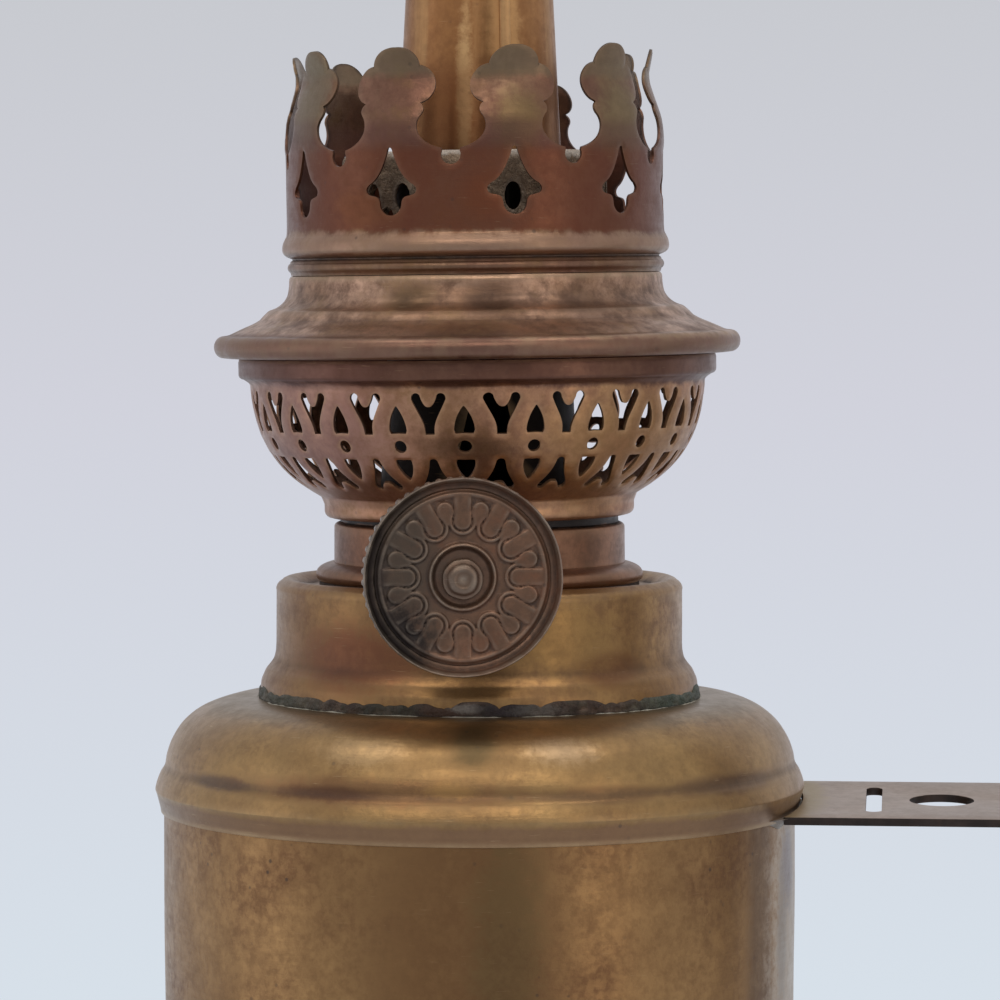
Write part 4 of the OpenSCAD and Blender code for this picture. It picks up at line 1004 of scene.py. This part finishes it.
def makeBasket():
    line = ([(18.0, 34.4), (18.7, 34.4)] + arc((18.7, 35.3), 0.9, -60, 0, 5) + [(19.6, 36.1)]
            + curve([(20.0, 37.1), (23.8, 39.3), (28.3, 42.5), (28.75, 51.3)], 40)
            + [(28.92, 51.55), (29.25, 51.8), (29.65, 52.05)] + arc((29.6, 52.65), 0.6, -65, 0, 5)
            + [(30.2, 53.3), (30.2, 54.6)])
    profile, wrapR = Profile(line), basket["wrapR"]
    edge = math.pi / basket["units"] * wrapR
    rimT = profile.walkTo(basket["fieldTop"] - 1)

    def warped(points):
        # Shapes are as wide as seen straight on, whatever the bowl's radius there
        out = []
        for u, down in points:
            z = basket["fieldTop"] + down
            out.append((wrapR * math.asin(u / profile.radius(z)), profile.walkTo(z)))
        return out

    fork = warped(bothHalves(
        [(0.55, -5.1)] + curve([(0.6, -4.3), (0.75, -3.2), (1.4, -2.4), (2.1, -0.75)], 10)
        + arc((1.52, -0.6), 0.58, 10, 150, 8)
        + curve([(0.9, -0.75), (0.5, -1.7), (0.25, -1.72), (0.02, -1.72)], 5)))
    bell = warped(bothHalves(
        [(0.05, -8.15), (0.3, -8.2), (0.48, -8.4)]
        + curve([(0.6, -8.9), (0.8, -10), (1.35, -10.7), (1.78, -11.4)], 8)
        + [(1.84, -11.6), (1.8, -11.8), (1.65, -11.97), (1.5, -12.05), (1.25, -12.08), (1.05, -12),
           (0.85, -11.75), (0.7, -11.5), (0.5, -11.3), (0.3, -11.2), (0.05, -11.2)]))
    # Half shapes that the neighbouring unit completes
    ogive = ([(0, -1.6)] + curve([(0.1, -1.66), (0.75, -2.6), (1.1, -3.6), (1.12, -4.6)], 9)
             + [(0.95, -5), (0.5, -4.98), (0, -4.95)])
    turns = [rad(a) for a in range(15, 180, 15)]
    dot = [(0, -5.84)] + [(0.76 * math.sin(a), -6.6 + 0.76 * math.cos(a)) for a in turns] + [(0, -7.36)]
    drop = ([(0, -8.25), (0.5, -8.22), (0.95, -8.25), (1.02, -8.5)]
            + curve([(1, -9), (0.85, -9.7), (0.5, -10.4), (0.1, -10.75)], 7) + [(0, -10.8)])
    side = [(edge, t) for t in profile.at[::-1] if t > rimT]
    for shape in (ogive, dot, drop):
        side += [(edge - s, t) for s, t in warped(shape)]
    side.append((edge, 0))
    unit = sheetUnit("airBasket", profile, bothHalves(side), [fork, bell], edge, wrapR, basket["sheet"],
                     0.5, roll=0.12)
    mesh = repeated(unit, basket["units"], finishes["basket"])
    front = rad(frontTurn - basket["turn"])
    for v in mesh.vertices:
        # The pierced strip is joined in front, and its units stand a little apart there
        a, away = math.atan2(v.co.y, v.co.x), math.hypot(v.co.x, v.co.y)
        off = (a - front + math.pi) % math.tau - math.pi
        a += rad(basket["join"]) * (math.tanh(off / rad(5)) * (1 - abs(off) / math.pi) + math.sin(off))
        v.co = around(away, a, v.co.z)
    place = galleryPlace @ Matrix.Rotation(rad(basket["turn"]), 4, "Z")
    addPiece("airBasket", mesh, place, "gallery", finishes["basket"], ["air_basket"], 50)


def makeCover():
    line = ([(28.7, 54.75), (31.9, 54.75)] + arc((32.1, 56.12), 1.15, -75, 82, 12, squash=1.18)
            + [(31.75, 57.52)]
            + flowing([(31.3, 57.62), (30.6, 57.95), (29.5, 58.45), (28.3, 58.95), (27.4, 59.45)], 5)
            + [(26.95, 59.95), (26.35, 60.5)]
            + flowing([(26.1, 60.65), (25.2, 61.0), (24.4, 61.6), (23.85, 62.4), (23.62, 63.4),
                       (23.55, 64.3)], 5)
            + [(23.5, 64.62), (23.3, 64.88), (23.0, 64.95), (21.9, 64.95)])
    mesh = turned("galleryCover", sheetLine(line, 0.5), 320, dents=0.13, dentSize=9, seed=7.7, longest=0.9)
    addPiece("galleryCover", mesh, galleryPlace, "gallery", finishes["cover"],
             ["gallery_cover"])


# Fleuron crown
crown = {"prongs": 10, "turn": 16.9, "r": 23.8, "gapZ": 80.1, "tipZ": 93.0, "sheet": 0.45,
         "waistW": 6.5, "lobeW": 9.8, "tipW": 5.7, "notchR": 1.15, "leanIn": 1.45, "spread": 2.6,
         # How each prong was bent by hand, in millimetres: outwards, round and down
         "bends": ((0.2, 0.6, 0.4), (-0.2, 0.3, 0.0), (-0.3, 1.0, 0.2), (0.3, 0.2, 0.1), (-0.3, 1.25, 1.9),
                   (0.1, 0.3, 0.0), (0.4, 0.6, 0.75), (0.1, 0.0, 0.45), (-0.1, 1.1, 0.4), (0.0, 0.5, 0.5))}


def makeCrown():
    step = math.pi / crown["prongs"]
    r, gapZ, tipZ = crown["r"], crown["gapZ"], crown["tipZ"]
    lean = [(0, 0.02), (1.4, 0.15), (4, -0.07), (6.5, -0.8), (8.4, -1.35), (9.6, -1.45), (10.2, -1.38),
            (11.4, -1.1), (13.32, -0.7)]
    line = ([(23.42, 64.97), (23.4, 65.25)] + arc((23.12, 65.95), 0.66, -60, 60, 8)
            + [(23.42, 66.72), (23.15, 66.92), (23.2, 67.08)]
            + flowing([(23.55, 67.2), (24.1, 67.5), (24.38, 67.92), (24.43, 68.4), (24.33, 69.0),
                       (24.06, 69.6), (23.86, 70.05), (23.8, 71.0)], 4)
            + [(r, 76), (r, gapZ - 1)] + flowing([(r + dr, gapZ + dz) for dz, dr in lean], 4))
    profile = Profile(line)
    edge = step * r
    topU, lowU = (r - crown["leanIn"]) * math.sin(step), r * math.sin(step)
    gapHalf = lowU - crown["waistW"] / 2
    lobeR = crown["lobeW"] / 4
    lobeU = topU - crown["lobeW"] / 2 + lobeR
    bulb = crown["tipW"] / 2
    # Half of a gap, from its middle line: how far round from there, and the height
    notchR = crown["notchR"]
    gap = ([(0, gapZ - 0.7 - notchR)] + arc((0, gapZ - 0.7), notchR, -75, 25, 8)
           + arc((0, gapZ + 2.9), gapHalf, -74, 32, 16, squash=2.9 / gapHalf)
           + arc((lobeU - 0.2, gapZ + 5), 0.95, 215, 125, 6) + arc((lobeU, gapZ + 8.1), lobeR, 235, 100, 16)
           + arc((topU, tipZ - bulb), bulb, 178, 94, 14))
    side = [(edge, t) for t in profile.at if t < profile.walkTo(gap[0][1]) - 0.2]
    for u, z in gap:
        u = min(u, topU - 0.01)
        side.append((edge - r * math.asin(u / profile.radius(z)), profile.walkTo(z)))
    outline = [(-s, t) for s, t in side[::-1]] + side
    spade = []
    for u, down in bothHalves(
            [(0.02, -0.42), (0.2, -0.5), (0.32, -0.75)]
            + curve([(0.4, -1.1), (0.95, -2.6), (1.5, -4.2), (2.9, -4.9)], 12)
            + arc((2.65, -5.55), 0.62, 55, -70, 8)
            + curve([(2.2, -6.3), (1.75, -6.35), (1.5, -6.6), (1.42, -7.1)], 5)
            + arc((0, -7.25), 1.4, -3, -88, 9)):
        z = gapZ + 0.7 + down
        spade.append((r * math.asin(u / profile.radius(z)), profile.walkTo(z)))
    # The groove under the bulge is darkened: painted shade in the recess, with dirt
    unit = sheetUnit("crown", profile, outline, [spade], edge, r, crown["sheet"], 0.55,
                     groove=(66.98, 0.36))
    mesh = repeated(unit, crown["prongs"], finishes["crown"])
    for v in mesh.vertices:
        up = max(0, v.co.z - gapZ) / (tipZ - gapZ)
        a = math.atan2(v.co.y, v.co.x)
        bends = crown["bends"][round(a / (2 * step)) % crown["prongs"]]
        out, turn, down = (bend * up * up for bend in bends)
        away = math.hypot(v.co.x, v.co.y) + out
        # The prongs stand a little wider apart in front than behind, where the strip is joined
        a += turn / r + rad(crown["spread"]) * math.sin(a + rad(crown["turn"] - frontTurn))
        v.co = around(away, a, v.co.z - down)
    place = galleryPlace @ Matrix.Rotation(rad(crown["turn"]), 4, "Z")
    addPiece("crownBand", mesh, place, "gallery", finishes["crown"], ["crown"], 50)


# Chimney seat and air deflector inside the crown
deflector = {"r": 16.7, "holes": 22, "holeW": 2.3, "holeH": 3.5, "turn": 22.0, "sheet": 0.5, "seatZ": 65.7,
             "seatR": 22.9, "topZ": 80.2, "topRoll": 1.3, "tubeRoom": 2.4}


def makeChimneySeat():
    inner, outer, seatZ = deflector["r"] + 0.05, deflector["seatR"], deflector["seatZ"]
    ring = [(inner, seatZ - 0.5), (outer - 0.1, seatZ - 0.5), (outer, seatZ - 0.25), (outer - 0.1, seatZ),
            (inner, seatZ)]
    addPiece("chimneyRing", turned("chimneyRing", ring, 192), galleryPlace, "gallery",
             finishes["cover"], ["chimney_ring"])


def makeDeflector():
    seatZ, topZ, r, roll = deflector["seatZ"], deflector["topZ"], deflector["r"], deflector["topRoll"]
    profile = Profile([(r, seatZ - 0.5), (r, topZ - roll)] + arc((r - roll, topZ - roll), roll, 8, 84, 9)
                      + [(tubeR(topZ) + deflector["tubeRoom"], topZ)])
    edge = math.pi / deflector["holes"] * r
    wide, tall = deflector["holeW"] / 2, deflector["holeH"] / 2
    # Three rows of holes, the middle one shared with the neighbouring unit
    rows = [topZ - 5.7 - (topZ - seatZ) * 0.2 * k for k in range(3)]
    holes = [[(wide * math.cos(rad(a)), profile.walkTo(z) + tall * math.sin(rad(a)))
              for a in range(0, 360, 24)] for z in (rows[0], rows[2])]
    z = profile.walkTo(rows[1])
    side = ([(edge, 0), (edge, z - tall)]
            + [(edge - wide * math.sin(rad(a)), z - tall * math.cos(rad(a))) for a in range(24, 180, 24)]
            + [(edge, z + tall), (edge, profile.at[-1])])
    outline = [(-s, t) for s, t in side[::-1]] + side
    unit = sheetUnit("airDeflector", profile, outline, holes, edge, r, deflector["sheet"], 0.7, roll=0.06)
    mesh = repeated(unit, deflector["holes"], finishes["deflector"])
    place = galleryPlace @ Matrix.Rotation(rad(deflector["turn"]), 4, "Z")
    addPiece("airDeflector", mesh, place, "gallery", finishes["deflector"],
             ["air_deflector"], 40)


makeBasket()
makeCover()
makeCrown()
makeChimneySeat()
makeDeflector()
print("gallery made")

# Wick: a flat woven band, curled into a tube as it is wound up
wick = {"flatW": 45.0, "length": 155.0, "thick": 1.4, "topZ": 105.4, "bendZ": 30.0, "room": 1.05,
        "rib": 1.5, "ribDepth": 0.08, "pick": 1.6, "pickDepth": 0.03}


def makeWick():
    rows, columns, half = 190, 90, wick["thick"] / 2
    points, marks = [], []
    for layer in (1, -1):
        for i in range(rows + 1):
            z = wick["topZ"] - wick["length"] * i / rows
            r = tubeR(max(z, wick["bendZ"])) - wick["room"] - half
            for j in range(columns + 1):
                s = wick["flatW"] * (j / columns - 0.5)
                # Warp ribs down the band, picks across it
                weave = wick["ribDepth"] * math.cos(math.tau * s / wick["rib"])
                weave += wick["pickDepth"] * math.cos(math.tau * z / wick["pick"] + math.pi * j)
                out = r + layer * (half - 0.06 + (0 if i in (0, rows) else weave))
                points.append(around(out, math.pi + s / r, z))
                marks.append((0, max(0, 1 - i / 5) * 0.9 + (0.4 if z < 20 else 0)))
    n = (rows + 1) * (columns + 1)
    outside = skin(rows + 1, columns + 1, closed=False)
    ring = list(range(columns + 1)) + [(i + 1) * (columns + 1) - 1 for i in range(1, rows + 1)]
    ring += [rows * (columns + 1) + j for j in range(columns - 1, -1, -1)]
    ring += [i * (columns + 1) for i in range(rows - 1, 0, -1)]
    faces = outside + [tuple(q + n for q in quad[::-1]) for quad in outside]
    faces += [(a, b, b + n, a + n) for a, b in zip(ring, ring[1:] + ring[:1])]
    mesh = newMesh("wickBand", points, faces, marks)
    band = addPiece("wickBand", mesh, burnerPlace, "wick", finishes["cotton"], ["wick"], 60)


makeWick()
print("wick made")

# CAD nodes that stay get their finish
kept = {"font_base": "font", "collar_thread": "collar", "bracket_rivets": "strap",
        "base_plate": "burner", "neck_plate": "burner", "air_cheeks": "tube", "air_floor": "tube",
        "bearing_bracket": "burner", "spindle_gland": "burner", "spindle": "steel", "wick_wheels": "burner"}
for name, key in kept.items():
    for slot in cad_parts[name].material_slots:
        slot.material = finishes[key]
print("kept nodes finished:", len(kept))

# Camera, light and stage
view = {"distance": 565.0, "height": 67.2, "right": 2.6, "pxPerMm": 7.9, "horizonUp": 230, "framePx": 1000,
        "lightsAim": 30}  # millimetres and pixels


def lookAt(thing, target):
    thing.rotation_mode = "QUATERNION"
    thing.rotation_quaternion = (target - thing.location).to_track_quat("-Z", "Y")


def makeCamera():
    camera = bpy.data.objects.new("camera", bpy.data.cameras.new("camera"))
    scene.collection.objects.link(camera)
    pixels = view["pxPerMm"] * view["distance"]
    camera.data.lens = pixels * camera.data.sensor_width / view["framePx"]
    across = Vector((-frontLine[1], frontLine[0], 0))
    axis = Vector((0, axisY, 0))
    eye = Vector((0, 0, view["height"] * 0.001))
    camera.location = axis + frontLine * view["distance"] * 0.001 + eye
    drop = view["distance"] * view["horizonUp"] / pixels
    height = (view["height"] - drop) * 0.001
    lookAt(camera, axis + across * view["right"] * 0.001 + Vector((0, 0, height)))
    camera.data.clip_start, camera.data.clip_end = 0.01, 20
    scene.camera = camera


room = {"side": 1.0, "front": 0.72, "below": 0.65}  # light levels round the lamp


def makeWorld():
    # Pale backdrop, blue below and lavender above; metal sees it too, dimmer where the room was
    world = bpy.data.worlds.new("pale room")
    scene.world = world
    world.use_nodes = True
    tree = world.node_tree
    tree.nodes.clear()
    way = addNode(tree, "ShaderNodeTexCoord").outputs["Generated"]
    height = addNode(tree, "ShaderNodeSeparateXYZ", {0: way}).outputs["Z"]
    pale = linear("#d7e0e9")
    for low, high, shade in ((-0.16, -0.03, "#d1d2dc"), (-0.03, 0.06, "#c8cad0")):
        rise = addNode(tree, "ShaderNodeMapRange", {"Value": height, "From Min": low, "From Max": high})
        pale, _ = film(tree, pale, shade, rise.outputs[0])
    facing = addNode(tree, "ShaderNodeVectorMath", {0: way, 1: tuple(frontLine)}, operation="DOT_PRODUCT")
    levels = {}
    for index, value, low, high, atLow, atHigh in (
            (0, facing.outputs["Value"], 0.15, 1.0, room["side"], room["front"]),
            (1, height, -0.8, -0.1, room["below"], 1.0)):
        level = addNode(tree, "ShaderNodeMapRange", {
            "Value": value, "From Min": low, "From Max": high, "To Min": atLow, "To Max": atHigh})
        levels[index] = level.outputs[0]
    level = addNode(tree, "ShaderNodeMath", levels, operation="MULTIPLY").outputs[0]
    seen = addNode(tree, "ShaderNodeLightPath").outputs["Is Camera Ray"]
    strength = addNode(tree, "ShaderNodeMix", {"Factor": seen, 2: level, 3: 1.0}, data_type="FLOAT")
    back = addNode(tree, "ShaderNodeBackground", {"Color": pale, "Strength": strength.outputs[0]})
    addNode(tree, "ShaderNodeOutputWorld", {"Surface": back.outputs[0]})


# Skylight and windows: degrees to the right of the front, degrees up, metres away, size, watts, colour
lamps = {
    "skylight left": (-56, 67, 0.9, (0.36, 0.26), 0.75, "#fff8f2"),
    "skylight right": (53, 66, 0.9, (0.3, 0.24), 0.75, "#fff8f2"),
    "window": (-6, 36, 0.9, (1.0, 0.2), 1.4, "#fff6ee"),
    "side left": (-80, 6, 1.0, (0.5, 0.8), 0.5, "#f4f4ff"),
    "side right": (43, 4, 1.0, (0.24, 0.8), 0.55, "#fff0e0"),
}


def makeLights():
    middle = lampPlace @ Vector((0, 0, view["lightsAim"]))
    for name, (turn, up, away, size, watts, colour) in lamps.items():
        light = bpy.data.lights.new(name, "AREA")
        light.shape = "RECTANGLE"
        light.size, light.size_y = size
        light.energy = watts
        light.color = linear(colour)[:3]
        lamp = bpy.data.objects.new(name, light)
        scene.collection.objects.link(lamp)
        e = rad(up)
        lamp.location = middle + away * Vector(around(math.cos(e), rad(frontTurn + turn), math.sin(e)))
        lookAt(lamp, middle)


stage = {"r": 1.2, "z": -0.3, "fadeFrom": 0.7, "fadeTo": 1.19}  # metres


def makeFloor():
    # Pale floor well below the lamp, too far down to show from the front; its rim fades out
    points = [around(stage["r"], math.tau * i / 96, stage["z"]) for i in range(96)]
    mesh = newMesh("floor", [(x, y + axisY, z) for x, y, z in points], [tuple(range(96))])
    floor = bpy.data.objects.new("floor", mesh)
    scene.collection.objects.link(floor)
    finish = bpy.data.materials.new("Pale matt floor")
    finish.use_nodes = True
    tree = finish.node_tree
    tree.nodes.clear()
    where = addNode(tree, "ShaderNodeTexCoord").outputs["Object"]
    middle = (0, -axisY, -stage["z"])
    flat = addNode(tree, "ShaderNodeVectorMath", {0: where, 1: middle}, operation="ADD").outputs[0]
    away = addNode(tree, "ShaderNodeVectorMath", {0: flat}, operation="LENGTH").outputs["Value"]
    fade = addNode(tree, "ShaderNodeMapRange", {
        "Value": away, "From Min": stage["fadeFrom"], "From Max": stage["fadeTo"]}).outputs[0]
    matt = addNode(tree, "ShaderNodeBsdfDiffuse", {"Color": linear("#dfe3ea"), "Roughness": 0.5})
    clear = addNode(tree, "ShaderNodeBsdfTransparent")
    both = addNode(tree, "ShaderNodeMixShader", {0: fade, 1: matt.outputs[0], 2: clear.outputs[0]})
    addNode(tree, "ShaderNodeOutputMaterial", {"Surface": both.outputs[0]})
    mesh.materials.append(finish)


makeCamera()
makeWorld()
makeLights()
makeFloor()
scene.view_settings.view_transform = "Standard"
print("camera, light and floor made")
